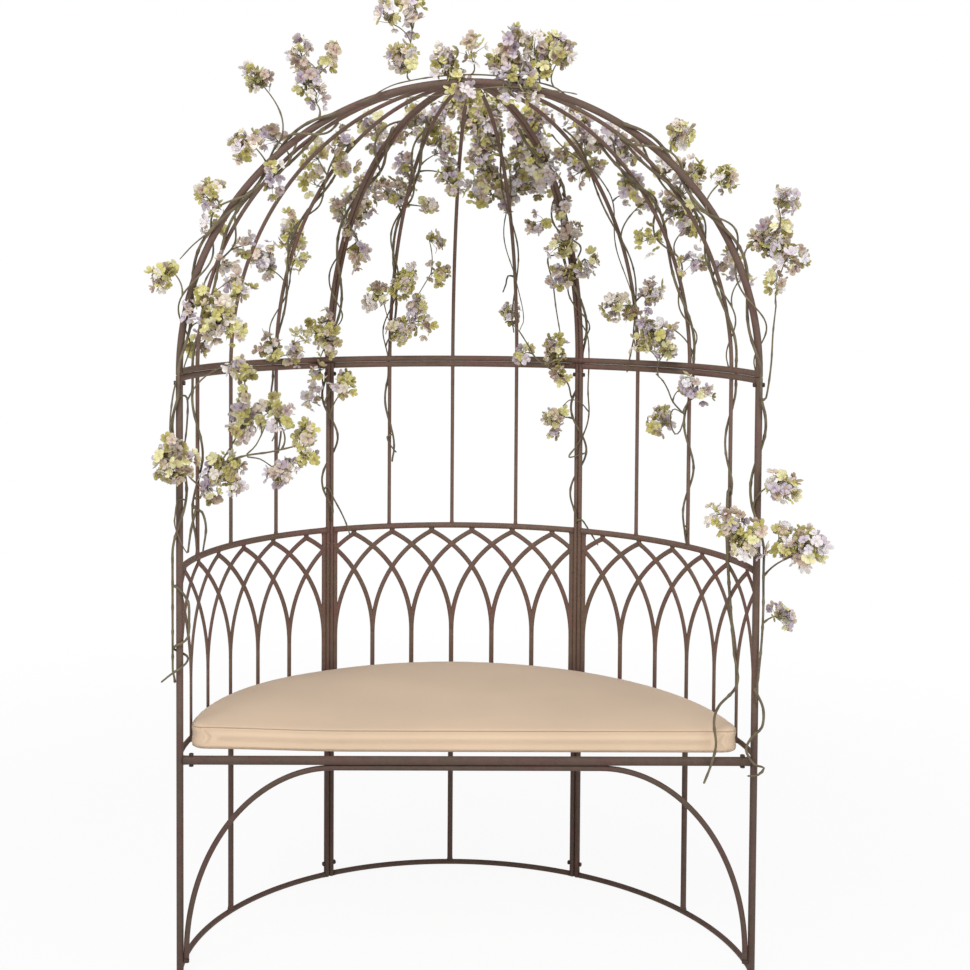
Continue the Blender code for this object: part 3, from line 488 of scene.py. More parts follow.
class Shape:
    """Points with the quads and triangles that join them, and a number for each point in every channel."""

    def __init__(self, points, quads, tris, **channels):
        self.points = np.asarray(points, float).reshape(-1, 3)
        self.quads = np.asarray(quads, int).reshape(-1, 4)
        self.tris = np.asarray(tris, int).reshape(-1, 3)
        self.channels = {name: np.broadcast_to(v, len(self.points)) for name, v in channels.items()}


def joined(shapes):
    """Several shapes as one, with the channels of the first."""
    starts = np.cumsum([0] + [len(s.points) for s in shapes])
    return Shape(
        np.concatenate([s.points for s in shapes]),
        np.concatenate([s.quads + start for s, start in zip(shapes, starts)]),
        np.concatenate([s.tris + start for s, start in zip(shapes, starts)]),
        **{name: np.concatenate([s.channels[name] for s in shapes]) for name in shapes[0].channels},
    )


def ring_quads(rows, columns):
    """Quads of a grid whose columns run round and close on themselves."""
    i, j = np.meshgrid(np.arange(rows - 1), np.arange(columns), indexing="ij")
    k = (j + 1) % columns
    return np.stack([i * columns + j, i * columns + k, (i + 1) * columns + k, (i + 1) * columns + j], -1)


def fan(pole, ring, outward):
    """Triangles from a pole to a closed ring of points, turned over at the end where outward is true."""
    other = np.roll(ring, -1)
    pair = (ring, other) if outward else (other, ring)
    return np.stack([np.full(len(ring), pole), *pair], -1)


def capped_rings(rings, first_pole, last_pole):
    """Rings of points, joined into one closed surface with a pole at each end."""
    rows, columns, _ = rings.shape
    count = rows * columns
    points = np.concatenate([rings.reshape(-1, 3), [first_pole, last_pole]])
    first, last = np.arange(columns), np.arange(count - columns, count)
    tris = np.concatenate([fan(count, first, False), fan(count + 1, last, True)])
    return points, ring_quads(rows, columns), tris


def along_path(path):
    """Length from the start of a path to each of its points."""
    return np.concatenate([[0.0], np.cumsum(np.linalg.norm(np.diff(path, axis=0), axis=1))])


def unit(vectors):
    """Vectors scaled to a length of one."""
    return vectors / np.linalg.norm(vectors, axis=-1, keepdims=True)


def path_frame(points, across):
    """Unit vectors along a path and in the two directions square to it, the first of them near across."""
    run = unit(np.gradient(points, axis=0))
    second = unit(np.cross(run, across))
    return run, np.cross(second, run), second


def spokes_round(first, second, sides):
    """Unit vectors round each point of a path: cos v a + sin v b, for even turns v."""
    v = np.arange(sides) * 2 * math.pi / sides
    return np.cos(v)[None, :, None] * first[:, None] + np.sin(v)[None, :, None] * second[:, None]


BAR_SIDES = 16
HEAVY_BAR_SIDES = 24
CAP_RISE = 0.25
CAP_TURNS = np.radians([75.0, 50.0, 25.0])
WELD_CUTS = np.array([0.0, 0.0015, 0.0035, 0.006, 0.010])
WELD_FADE = 0.0035


def bar(path, diameter, across, welds=(False, False), swell=WELD_SWELL, sides=BAR_SIDES):
    """A round bar carried along a path C(u).

    P(u, v) = C(u) + r(u) (cos v a(u) + sin v b(u)), where a and b are square to the path. At a welded end the
    radius swells as r = d/2 (1 + swell exp(-s / fade)) with the length s from it. Each end closes in half an
    ellipsoid that rises by a quarter of the radius.
    """
    path = np.asarray(path, float)
    length = along_path(path)
    cuts = [length]
    if welds[0]:
        cuts.append(WELD_CUTS)
    if welds[1]:
        cuts.append(length[-1] - WELD_CUTS)
    along = np.unique(np.concatenate(cuts).clip(0.0, length[-1]).round(6))
    points, across = (
        np.stack([np.interp(along, length, values[:, k]) for k in range(3)], 1)
        for values in (path, np.broadcast_to(across, path.shape))
    )
    weld = np.zeros(len(along))
    if welds[0]:
        weld = np.exp(-along / WELD_FADE)
    if welds[1]:
        weld = np.maximum(weld, np.exp((along - length[-1]) / WELD_FADE))
    radius = diameter / 2 * (1 + swell * weld)
    run, first, second = path_frame(points, across)

    rise = CAP_RISE * np.sin(CAP_TURNS)[:, None]
    start = points[0] - rise * radius[0] * run[0]
    end = points[-1] + rise[::-1] * radius[-1] * run[-1]
    centres = np.concatenate([start, points, end])
    caps = np.cos(CAP_TURNS)
    radii = np.concatenate([caps * radius[0], radius, caps[::-1] * radius[-1]])
    m = len(CAP_TURNS)
    first = np.concatenate([np.repeat(first[:1], m, 0), first, np.repeat(first[-1:], m, 0)])
    second = np.concatenate([np.repeat(second[:1], m, 0), second, np.repeat(second[-1:], m, 0)])
    rings = centres[:, None] + radii[:, None, None] * spokes_round(first, second, sides)
    poles = (points[0] - CAP_RISE * radius[0] * run[0], points[-1] + CAP_RISE * radius[-1] * run[-1])
    points, quads, tris = capped_rings(rings, *poles)
    weld = np.concatenate([np.repeat(weld[0], m), weld, np.repeat(weld[-1], m)])
    return Shape(points, quads, tris, weld=np.concatenate([np.repeat(weld, sides), [weld[0], weld[-1]]]))


def revolved(profile, centre, axis, across, corners=0, sides=24):
    """A profile of (place, radius) pairs turned about an axis, with a pole at each end.

    P(u, v) = C + z(u) n + r(u) f(v) (cos v a + sin v b). For a hexagon f(v) = 1 / cos(v' - pi / corners),
    where v' is v within one side, so that the radius is half the size across the flats.
    """
    profile = np.asarray(profile, float)
    axis = unit(np.asarray(axis, float))
    first = unit(np.cross(axis, across))
    second = np.cross(axis, first)
    v = np.arange(sides) * 2 * math.pi / sides
    edge = np.ones(sides)
    if corners:
        edge = 1 / np.cos(v % (2 * math.pi / corners) - math.pi / corners)
    spokes = edge[:, None] * (np.cos(v)[:, None] * first + np.sin(v)[:, None] * second)
    centres = np.asarray(centre) + profile[:, :1] * axis
    rings = centres[:, None] + profile[:, 1][:, None, None] * spokes
    points, quads, tris = capped_rings(rings, centres[0], centres[-1])
    return Shape(points, quads, tris, weld=0.0)


def in_scene(name, data):
    """A new object of the scene."""
    obj = bpy.data.objects.new(name, data)
    bpy.context.scene.collection.objects.link(obj)
    return obj


def add_piece(name, shape, material, body, *replaced):
    """Makes a mesh piece that rides on a body and stands for frame nodes."""
    mesh = bpy.data.meshes.new(name)
    mesh.from_pydata(shape.points.tolist(), [], shape.quads.tolist() + shape.tris.tolist())
    for channel, values in shape.channels.items():
        attribute = mesh.attributes.new(channel, "FLOAT", "POINT")
        attribute.data.foreach_set("value", np.ascontiguousarray(values, np.float32))
    mesh.shade_smooth()
    mesh.materials.append(material)
    piece = in_scene(name, mesh)
    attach(piece, body)
    if replaced:
        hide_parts(*replaced)
    return piece


# Plan of the frame


def plan_frame(angle):
    """Outward and sideways unit vectors at an angle round the plan, for one angle or many."""
    t = np.radians(angle)
    zero = np.zeros_like(t)
    outward = np.stack([-np.cos(t), np.sin(t), zero], -1)
    sideways = np.stack([np.sin(t), np.cos(t), zero], -1)
    return outward, sideways


def plan_point(angle, z, shift=0.0):
    """Points on the back's circle at an angle and a height, moved sideways by shift."""
    outward, sideways = plan_frame(angle)
    centre = np.array([0.0, FRONT_Y, 0.0])
    return centre + HALF_WIDTH * outward + shift * sideways + np.multiply.outer(z, UP)


def inset_angle(inset):
    """The angle that a length along the back's circle covers."""
    return math.degrees(inset / HALF_WIDTH)


def rail(panel, z, diameter, joint_inset):
    """A curved rail of one panel: an arc of the plan's circle, welded at both ends."""
    left, right = JOINT_ANGLES[panel], JOINT_ANGLES[panel + 1]
    start = left + inset_angle(POST_D / 2 if panel == 0 else joint_inset)
    end = right - inset_angle(POST_D / 2 if panel == len(PANELS) - 1 else joint_inset)
    path = plan_point(np.linspace(start, end, RAIL_POINTS), z)
    return bar(path, diameter, UP, (True, True), RAIL_SWELL)


def upright(angle, bottom, top, diameter, shift=0.0, welds=(True, True)):
    """A vertical round bar at an angle round the plan."""
    path = plan_point(angle, np.linspace(bottom, top, UPRIGHT_POINTS), shift)
    return bar(path, diameter, plan_frame(angle)[0], welds)


def rod_angles(panel):
    """Angles of the rods between the two ends of a panel."""
    return np.linspace(JOINT_ANGLES[panel], JOINT_ANGLES[panel + 1], PANEL_BAYS + 1)[1:-1]


def rib(angle, shift, diameter):
    """A quarter circle from the dome rail to the crown: C(t) = R cos t outward + (z + R sin t) up."""
    outward, sideways = plan_frame(angle)
    end = math.acos(HUB_RADIUS / HALF_WIDTH)
    t = np.linspace(0.0, end, QUARTER_POINTS)
    path = HALF_WIDTH * np.cos(t)[:, None] * outward + shift * sideways
    path = path + np.array([0.0, FRONT_Y, DOME_Z]) + HALF_WIDTH * np.sin(t)[:, None] * UP
    return bar(path, diameter, sideways, (True, True))


def pressed_flat(shape, flatness):
    """Bars pressed flat towards the back's cylinder: r' = R + f (r - R), with r the reach from its axis."""
    spoke = shape.points[:, :2] - (0.0, FRONT_Y)
    reach = np.linalg.norm(spoke, axis=1, keepdims=True)
    shape.points[:, :2] = spoke * (HALF_WIDTH + flatness * (reach - HALF_WIDTH)) / reach + (0.0, FRONT_Y)
    return shape


def tracery(panel, metal):
    """Interlaced pointed arches: each upright parts into two arcs that meet their neighbours' in points.

    An arc leaves its upright vertically: C(a) = (x + r (1 - cos a), z + r sin a), bent round the plan. It
    ends one and a half bays away under the back rail. Arcs that would pass the panel's end bars stop at
    them, and the arcs that would come from beyond start there.
    """
    size, spring, drop = metal.tracery_width, metal.tracery_spring, metal.tracery_drop
    stile = JOINT_GAP / 2 + metal.stile_diameter + JOINT_GAP + size / 2
    post = POST_D / 2 + JOINT_GAP + size / 2
    start = JOINT_ANGLES[panel] + inset_angle(post if panel == 0 else stile)
    end = JOINT_ANGLES[panel + 1] - inset_angle(post if panel == len(PANELS) - 1 else stile)
    bay = (end - start) / TRACERY_BAYS
    bay_length = math.radians(bay) * HALF_WIDTH
    under = BACK_RAIL_Z - BACK_RAIL_D / 2
    rise = under - drop - spring
    half_span = ARCH_SPAN_BAYS / 2 * bay_length
    radius = (half_span**2 + rise**2) / (2 * half_span)
    apex_turn = math.asin(rise / radius)
    edge_turn = math.acos(1 - bay_length / radius)

    bars = []
    for k in range(TRACERY_BAYS + 1):
        end_bar = k in (0, TRACERY_BAYS)
        top = under if end_bar else spring
        bars.append(upright(start + k * bay, SEAT_TOP_Z - size / 2, top, size, welds=(True, end_bar)))
    for k in range(-1, TRACERY_BAYS + 2):
        for lean in (-1, 1):
            bays_ahead = TRACERY_BAYS - k if lean > 0 else k
            if bays_ahead < 1 or bays_ahead > TRACERY_BAYS + 1:
                continue
            first = edge_turn if bays_ahead > TRACERY_BAYS else 0.0
            last = edge_turn if bays_ahead == 1 else apex_turn
            a = np.linspace(first, last, ARCH_POINTS)
            angles = start + (k + lean * radius * (1 - np.cos(a)) / bay_length) * bay
            path = plan_point(angles, 0.0) + np.multiply.outer(spring + radius * np.sin(a), UP)
            bars.append(bar(path, size, plan_frame(angles)[0], (first > 0, True), ARCH_SWELL))
    for k in range(TRACERY_BAYS):
        bars.append(upright(start + (k + 0.5) * bay, under - drop, under, size))
    return pressed_flat(joined(bars), metal.tracery_thickness / metal.tracery_width)


# Sizes and colours that a user would change


def metres(name, description, default, lowest=0.002, highest=0.1):
    """A length in metres that a user can change."""
    return FloatProperty(name=name, description=description, default=default, min=lowest, max=highest,
                         subtype="DISTANCE", unit="LENGTH")


def colour(name, description, default):
    """A colour that a user can change."""
    return FloatVectorProperty(name=name, description=description, default=default, min=0.0, max=1.0,
                               subtype="COLOR")


class ArbourMetal(bpy.types.PropertyGroup):
    """Bars and paint of the frame."""

    stile_diameter: metres("Stile", "Diameter of the stiles at the panel joints", 0.0105)
    rod_diameter: metres("Rod", "Diameter of the upper rods", 0.0092)
    rib_diameter: metres("Rib", "Diameter of the dome's ribs", 0.0092)
    edge_rib_diameter: metres("Edge rib", "Diameter of the paired ribs at the joints", 0.0105)
    top_rail_diameter: metres("Top rail", "Diameter of the two rails under the dome", 0.0145)
    tracery_width: metres("Arch width", "Width of the flattened bars of the arched back", 0.012)
    tracery_thickness: metres("Arch thickness", "Thickness of the flattened bars of the arched back", 0.006)
    tracery_spring: metres("Arch spring", "Height at which the back's arches spring", 0.632, 0.55, 0.8)
    tracery_drop: metres("Arch drop", "How far the arches end below the back rail", 0.007)
    apron_diameter: metres("Front arch", "Diameter of the arch under the front rail", 0.0125)
    apron_half_span: metres("Front arch width", "Width of each curved quarter of the arch", 0.33, 0.1, 0.6)
    apron_rise: metres("Front arch height", "Height of each curved quarter of the arch", 0.425, 0.1, 0.45)
    deck_diameter: metres("Deck bar", "Diameter of the bars under the cushion", 0.009)
    bolt_across: metres("Bolt head", "Size of a bolt head across its flats", 0.010)
    # The front and back paints are one paint: the back one is made lighter as painted light, for the weaker
    # lamp light on the bars behind
    front_paint: colour("Front paint", "Paint of the posts, hoop and front arch", (0.152, 0.094, 0.074))
    back_paint: colour("Back paint", "Paint of the bars behind", (0.190, 0.116, 0.091))
    bolt_paint: colour("Bolt paint", "Paint of the bolts and screws", (0.085, 0.053, 0.043))


class ArbourCushion(bpy.types.PropertyGroup):
    """Sizes and cloth of the seat cushion."""

    crown: metres("Crown", "How far the middle stands above the edge before it is blown up", 0.009, 0.0)
    waist: metres("Waist", "How far the sides are drawn in between the seams", 0.004, 0.0)
    low_seam: metres("Lower seam", "Height of the lower seam's upper side", 0.006, 0.0)
    swell: metres("Swell", "How far the air pressure may move the cover at most", 0.006, 0.001)
    quad_size: metres("Cloth quad", "Size of the quads that are simulated", 0.0075, 0.004)
    droop: metres("Droop", "How far the lower front edge hangs in front of the deck", 0.0062, 0.0)
    plump: metres("Plump end", "How much thicker the cushion is at its left end", 0.007, 0.0)
    seam_depth: metres("Seam depth", "How far a seam sinks into the cover", 0.0012, 0.0)
    welt_diameter: metres("Seam ridge", "Diameter of the ridge along a seam", 0.0022, 0.0005)
    pressure: FloatProperty(name="Pressure", description="Air pressure in the cover while it is simulated",
                            default=4.0, min=0.0, max=20.0)
    fill: FloatProperty(name="Fill", description="How tight the filling is, from slack to tight",
                        default=0.75, min=0.0, max=1.0, subtype="FACTOR")
    cloth_colour: colour("Cloth", "Colour of the cotton cover", (0.815, 0.612, 0.432))


class ArbourStage(bpy.types.PropertyGroup):
    """Floor, light and camera."""

    floor_colour: colour("Floor", "Colour of the pale floor", (0.86, 0.86, 0.86))
    key_power: FloatProperty(name="Key light", description="Power of the large soft light in front",
                             default=190.0, min=0.0, max=2000.0, unit="POWER")
    fill_power: FloatProperty(name="Fill light", description="Power of the light from the other side",
                              default=70.0, min=0.0, max=2000.0, unit="POWER")
    sky_strength: FloatProperty(name="Sky", description="Strength of the even light all round",
                                default=0.45, min=0.0, max=2.0)


# Materials


class Finish:
    """A Principled material whose nodes are added in short lines."""

    def __init__(self, name, roughness=0.5):
        self.material = bpy.data.materials.new(name)
        self.material.use_nodes = True
        self.tree = self.material.node_tree
        self.shader = self.tree.nodes["Principled BSDF"]
        self.set("Roughness", roughness)

    def set(self, socket, value):
        """Sets or links a socket of the shader."""
        self.feed(self.shader.inputs[socket], value)

    def feed(self, socket, value):
        """Links another node's output to a socket, or writes a constant into it."""
        if isinstance(value, bpy.types.NodeSocket):
            self.tree.links.new(value, socket)
        else:
            socket.default_value = value

    def node(self, kind, inputs, output=0, **settings):
        """Adds a node with its settings and inputs, and returns one of its outputs."""
        made = self.tree.nodes.new(kind)
        for name, value in settings.items():
            setattr(made, name, value)
        for key, value in inputs.items():
            self.feed(made.inputs[key], value)
        return made.outputs[output]

    def place(self):
        """The point in metres."""
        return self.node("ShaderNodeTexCoord", {}, "Object")

    def channel(self, name):
        """A number that the mesh holds for each of its points."""
        return self.node("ShaderNodeAttribute", {}, "Fac", attribute_name=name)

    def noise(self, scale, detail=3.0, rough=0.5):
        """Noise with so many bumps to a metre."""
        inputs = {"Vector": self.place(), "Scale": scale, "Detail": detail, "Roughness": rough}
        return self.node("ShaderNodeTexNoise", inputs, "Fac")

    def ramp(self, factor, stops):
        """A colour for each value of a number, from (place, colour) stops."""
        made = self.tree.nodes.new("ShaderNodeValToRGB")
        elements = made.color_ramp.elements
        while len(elements) < len(stops):
            elements.new(0.5)
        for element, (place, stop) in zip(elements, stops):
            element.position = place
            element.color = (*stop, 1.0)
        self.feed(made.inputs["Fac"], factor)
        return made.outputs["Color"]

    def mix(self, factor, first, second, blend="MIX"):
        """Two colours mixed."""
        made = self.tree.nodes.new("ShaderNodeMix")
        made.data_type = "RGBA"
        made.blend_type = blend
        self.feed(made.inputs["Factor"], factor)
        for name, value in (("A", first), ("B", second)):
            socket = [s for s in made.inputs if s.name == name and s.type == "RGBA"][0]
            self.feed(socket, value if isinstance(value, bpy.types.NodeSocket) else (*value, 1.0))
        return [s for s in made.outputs if s.type == "RGBA"][0]

    def math(self, operation, first, second):
        """Arithmetic on two numbers."""
        return self.node("ShaderNodeMath", {0: first, 1: second}, operation=operation)

    def between(self, factor, lowest, highest):
        """A number from 0 to 1 spread between two values."""
        return self.node("ShaderNodeMapRange", {"Value": factor, "To Min": lowest, "To Max": highest})

    def bump(self, height, depth, normal=None):
        """Relief of a depth in metres."""
        inputs = {"Height": height, "Distance": depth}
        if normal:
            inputs["Normal"] = normal
        return self.node("ShaderNodeBump", inputs, "Normal")


def shade(tone, factor):
    """A colour made lighter or darker."""
    return tuple(min(1.0, c * factor) for c in tone)


# Paint: bumps to a metre of each kind of noise, relief in metres, how strongly the layers show, and the
# heights above the seat rail's top between which the painted shadow under the seat ends
RED_TURN = (1.12, 0.86, 0.92)
OLIVE_TURN = (0.94, 1.12, 0.92)
PAINT_DRIFT_SCALE = 11.0
PAINT_PATCH_SCALE = 48.0
PAINT_GRAIN_SCALE = 420.0
PAINT_GLOSS_SCALE = 90.0
PAINT_LUMP_SCALE = 150.0
PAINT_LUMP_DEPTH = 0.0008
PAINT_PORE_SCALE = 900.0
PAINT_PORE_DEPTH = 0.0004
PATCH_SHARE = 0.34
GRAIN_SHARE = 0.30
WELD_SHARE = 0.50
WELD_TONE = 0.48
PAINT_ROUGHNESS = (0.48, 0.76)
SEAT_SHADOW_LOW = -0.02
SEAT_SHADOW_HIGH = 0.10


def painted_metal(name, paint, shadow_tone):
    """Matt brown paint that drifts from red-brown to olive along the bars, with a fine grain and dark welds.

    Below the seat the paint is darker: the seat's shadow on the bars under it is painted on.
    """
    finish = Finish(name)
    red = tuple(c * k for c, k in zip(paint, RED_TURN))
    olive = tuple(c * k for c, k in zip(paint, OLIVE_TURN))
    drift = finish.ramp(finish.noise(PAINT_DRIFT_SCALE, 3.0, rough=0.55), [
        (0.36, red), (0.47, paint), (0.56, olive), (0.66, paint)])
    patches = finish.ramp(finish.noise(PAINT_PATCH_SCALE, 4.0, rough=0.6), [
        (0.32, shade(paint, 0.62)), (0.50, paint), (0.70, shade(paint, 1.45))])
    grain = finish.ramp(finish.noise(PAINT_GRAIN_SCALE, 3.0, rough=0.7), [
        (0.36, shade(paint, 0.60)), (0.52, paint), (0.70, shade(paint, 1.60))])
    tone = finish.mix(GRAIN_SHARE, finish.mix(PATCH_SHARE, drift, patches), grain)
    welded = finish.math("MULTIPLY", finish.channel("weld"), WELD_SHARE)
    tone = finish.mix(welded, tone, shade(paint, WELD_TONE))
    height = finish.node("ShaderNodeSeparateXYZ", {"Vector": finish.place()}, "Z")
    # Painted shadow: the paint darkens below the seat, where the seat shades the bars under it
    painted_seat_shadow = finish.ramp(height, [
        (SEAT_TOP_Z + SEAT_SHADOW_LOW, shade(WHITE, shadow_tone)), (SEAT_TOP_Z + SEAT_SHADOW_HIGH, WHITE)])
    finish.set("Base Color", finish.mix(1.0, tone, painted_seat_shadow, "MULTIPLY"))
    finish.set("Roughness", finish.between(finish.noise(PAINT_GLOSS_SCALE, 4.0), *PAINT_ROUGHNESS))
    lumps = finish.bump(finish.noise(PAINT_LUMP_SCALE, 3.0), PAINT_LUMP_DEPTH)
    finish.set("Normal", finish.bump(finish.noise(PAINT_PORE_SCALE, 3.0), PAINT_PORE_DEPTH, lumps))
    finish.set("Specular IOR Level", 0.32)
    return finish.material


# Operators


# How much of each paint's tone is left below the seat, where the seat's shadow is painted on
SEAT_SHADOW_TONES = {"front": 0.74, "back": 0.58, "bolt": 0.80}


class MetalOperator:
    """What the operators that make painted bars share."""

    bl_options = {"REGISTER", "UNDO"}

    def add(self, node, shapes, paint):
        """Makes the finished piece of one frame node, with nothing of it below the floor."""
        material = bpy.data.materials.get(f"{paint}_paint_finish")
        if material is None:
            metal = bpy.context.scene.arbour_metal
            tone = tuple(getattr(metal, f"{paint}_paint"))
            material = painted_metal(f"{paint}_paint_finish", tone, SEAT_SHADOW_TONES[paint])
        shape = joined(shapes)
        shape.points[:, 2] = np.maximum(shape.points[:, 2], 0.0)
        piece = add_piece(f"{node}_finish", shape, material, "frame", node)


def joint_shift(diameter, side):
    """How far a bar of a pair lies beside the joint that it flanks."""
    return side * (JOINT_GAP / 2 + diameter / 2)


def joint_uprights():
    """The joints between panels, with the side of the joint and the name of each upright."""
    for joint in JOINT_ANGLES[1:-1]:
        for side in (-1, 1):
            place = "outer" if (side < 0) == (joint < 90) else "inner"
            yield joint, side, f"{'left' if joint < 90 else 'right'}_{place}"


def standing(diameter):
    """Height of a bar's first ring above the floor that its rounded foot rests on."""
    return CAP_RISE * diameter / 2


class ARBOUR_OT_base(MetalOperator, bpy.types.Operator):
    """Makes the base rails, seat rails and legs of the three panels"""

    bl_idname = "arbour.base"
    bl_label = "Base and seat frame"

    def execute(self, context):
        metal = context.scene.arbour_metal
        inset = JOINT_GAP / 2 + LEG_D
        for i, panel in enumerate(PANELS):
            centre = (JOINT_ANGLES[i] + JOINT_ANGLES[i + 1]) / 2
            self.add(f"base_rail_{panel}", [rail(i, BASE_RAIL_Z, BASE_RAIL_D, inset)], "back")
            self.add(f"seat_rail_{panel}", [rail(i, SEAT_RAIL_Z, SEAT_RAIL_D, inset)], "back")
            foot, head = BASE_RAIL_Z + BASE_RAIL_D * WELD_SEAT, SEAT_RAIL_Z - SEAT_RAIL_D * WELD_SEAT
            self.add(f"leg_{panel}", [upright(centre, foot, head, LEG_D)], "back")
        for joint, side, name in joint_uprights():
            leg = upright(joint, standing(LEG_D), SEAT_TOP_Z - standing(LEG_D), LEG_D,
                          joint_shift(LEG_D, side), (False, False))
            self.add(f"joint_leg_{name}", [leg], "back")
            size = metal.stile_diameter
            stile_top = TOP_RAIL_TOP_Z - standing(size)
            stile = upright(joint, SEAT_TOP_Z, stile_top, size, joint_shift(size, side))
            self.add(f"stile_{name}", [stile], "back")
        return {"FINISHED"}


class ARBOUR_OT_back(MetalOperator, bpy.types.Operator):
    """Makes the back rails, the interlaced arches and the rods above them"""

    bl_idname = "arbour.back"
    bl_label = "Arched back and rods"

    def execute(self, context):
        metal = context.scene.arbour_metal
        inset = JOINT_GAP / 2 + metal.stile_diameter
        top = TOP_RAIL_TOP_Z - metal.top_rail_diameter / 2
        foot = BACK_RAIL_Z + BACK_RAIL_D * WELD_SEAT
        for i, panel in enumerate(PANELS):
            self.add(f"back_rail_{panel}", [rail(i, BACK_RAIL_Z, BACK_RAIL_D, inset)], "back")
            self.add(f"arched_back_{panel}", [tracery(i, metal)], "back")
            bars = [rail(i, top, metal.top_rail_diameter, inset)]
            bars += [upright(a, foot, top, metal.rod_diameter) for a in rod_angles(i)]
            self.add(f"upper_rods_{panel}", bars, "back")
        return {"FINISHED"}


class ARBOUR_OT_dome(MetalOperator, bpy.types.Operator):
    """Makes the three dome panels and the crown's hub with its bolt"""

    bl_idname = "arbour.dome"
    bl_label = "Dome and crown"

    def execute(self, context):
        metal = context.scene.arbour_metal
        edge = metal.edge_rib_diameter
        for i, panel in enumerate(PANELS):
            bars = [rail(i, DOME_Z, metal.top_rail_diameter, JOINT_GAP)]
            bars += [rib(a, 0.0, metal.rib_diameter) for a in rod_angles(i)]
            if i > 0:
                bars.append(rib(JOINT_ANGLES[i], joint_shift(edge, 1), edge))
            if i < len(PANELS) - 1:
                bars.append(rib(JOINT_ANGLES[i + 1], joint_shift(edge, -1), edge))
            self.add(f"dome_panel_{panel}", bars, "back")
        self.add("crown_hub", [crown_hub()], "back")
        centre = (0.0, FRONT_Y + (HUB_RADIUS + POST_D / 2) / 2, HUB_Z)
        self.add("crown_bolt", bolt(centre, UP, HUB_THICKNESS, metal), "bolt")
        return {"FINISHED"}


class ARBOUR_OT_front(MetalOperator, bpy.types.Operator):
    """Makes the posts, the hoop, the front rail and the arch under it"""

    bl_idname = "arbour.front"
    bl_label = "Posts, hoop and front arch"

    def execute(self, context):
        metal = context.scene.arbour_metal
        for name, x in (("left", -HALF_WIDTH), ("right", HALF_WIDTH)):
            foot, head = standing(POST_D), SEAM_Z - standing(POST_D) / 2
            path = np.array([(x, FRONT_Y, z) for z in np.linspace(foot, head, POST_POINTS)])
            self.add(f"post_{name}", [bar(path, POST_D, ACROSS_FRONT, sides=HEAVY_BAR_SIDES)], "front")
        self.add("hoop", [hoop()], "front")
        half = HALF_WIDTH - POST_D / 2
        path = np.array([(x, FRONT_Y, FRONT_RAIL_Z) for x in np.linspace(-half, half, STRAIGHT_POINTS)])
        front_rail = bar(path, FRONT_RAIL_D, UP, (True, True), FRONT_RAIL_SWELL, HEAVY_BAR_SIDES)
        self.add("front_rail", [front_rail], "front")
        self.add("apron_arch", [bar(apron_path(metal), metal.apron_diameter, ACROSS_FRONT)], "front")
        return {"FINISHED"}


class ARBOUR_OT_deck(MetalOperator, bpy.types.Operator):
    """Makes the bars that carry the cushion"""

    bl_idname = "arbour.deck"
    bl_label = "Seat deck"

    def execute(self, context):
        metal = context.scene.arbour_metal
        self.add("seat_deck", seat_deck(metal), "back")
        return {"FINISHED"}


def crown_hub():
    """The half-round plate behind the hoop: half a disc swept up by its thickness, with rounded edges."""
    front = POST_D / 2
    reach = math.acos(front / HUB_RADIUS)
    a = np.linspace(-reach, reach, HUB_ARC_POINTS)
    arc = np.stack([HUB_RADIUS * np.sin(a), HUB_RADIUS * np.cos(a)], 1)
    across = np.linspace(arc[-1, 0], arc[0, 0], HUB_CHORD_POINTS + 2)[1:-1]
    chord = np.stack([across, np.full(len(across), front)], 1)
    outline = np.concatenate([arc, chord])[::-1]
    centre = outline.mean(0)
    half = HUB_THICKNESS / 2
    inner = 1 - HUB_EDGE / HUB_RADIUS
    levels = [(HUB_CORE_SCALE, -half), (inner, -half), (1.0, HUB_EDGE - half)]
    levels += [(1.0, half - HUB_EDGE), (inner, half), (HUB_CORE_SCALE, half)]
    rings = np.array([[(*(centre + s * (p - centre)), z) for p in outline] for s, z in levels])
    rings += np.array([0.0, FRONT_Y, HUB_Z])
    poles = [(centre[0], FRONT_Y + centre[1], HUB_Z + z) for z in (-half, half)]
    return Shape(*capped_rings(rings, *poles), weld=0.0)


def hoop():
    """The front hoop: half a circle with a short straight foot at each end."""
    t = np.linspace(0.0, math.pi, HOOP_POINTS)
    x, z = -HALF_WIDTH * np.cos(t), DOME_Z + HALF_WIDTH * np.sin(t)
    arc = np.stack([x, np.full(len(t), FRONT_Y), z], 1)
    foot = SEAM_Z + standing(POST_D)
    path = np.concatenate([[(-HALF_WIDTH, FRONT_Y, foot)], arc, [(HALF_WIDTH, FRONT_Y, foot)]])
    return bar(path, POST_D, ACROSS_FRONT, sides=HEAVY_BAR_SIDES)


def apron_path(metal):
    """Two quarter ellipses with a straight crown: C(a) = (x + w (1 - cos a), z - h (1 - sin a))."""
    size = metal.apron_diameter
    foot_x = HALF_WIDTH - POST_D / 2 - size / 2
    top = FRONT_RAIL_Z - FRONT_RAIL_D / 2 - size / 2
    a = np.linspace(0.0, math.pi / 2, QUARTER_POINTS)
    x = -foot_x + metal.apron_half_span * (1 - np.cos(a))
    z = top - metal.apron_rise * (1 - np.sin(a))
    half = np.stack([x, np.full(len(a), FRONT_Y), z], 1)
    half = np.concatenate([[(-foot_x, FRONT_Y, low("apron_arch", 2) + standing(size))], half])
    return np.concatenate([half, (half * (-1, 1, 1))[::-1]])


def shank(start, end, centre, axis):
    """The round shank of a bolt or screw between two places along its axis."""
    return revolved([(start, BOLT_SHANK_RADIUS), (end, BOLT_SHANK_RADIUS)], centre, axis, BOLT_TURN)


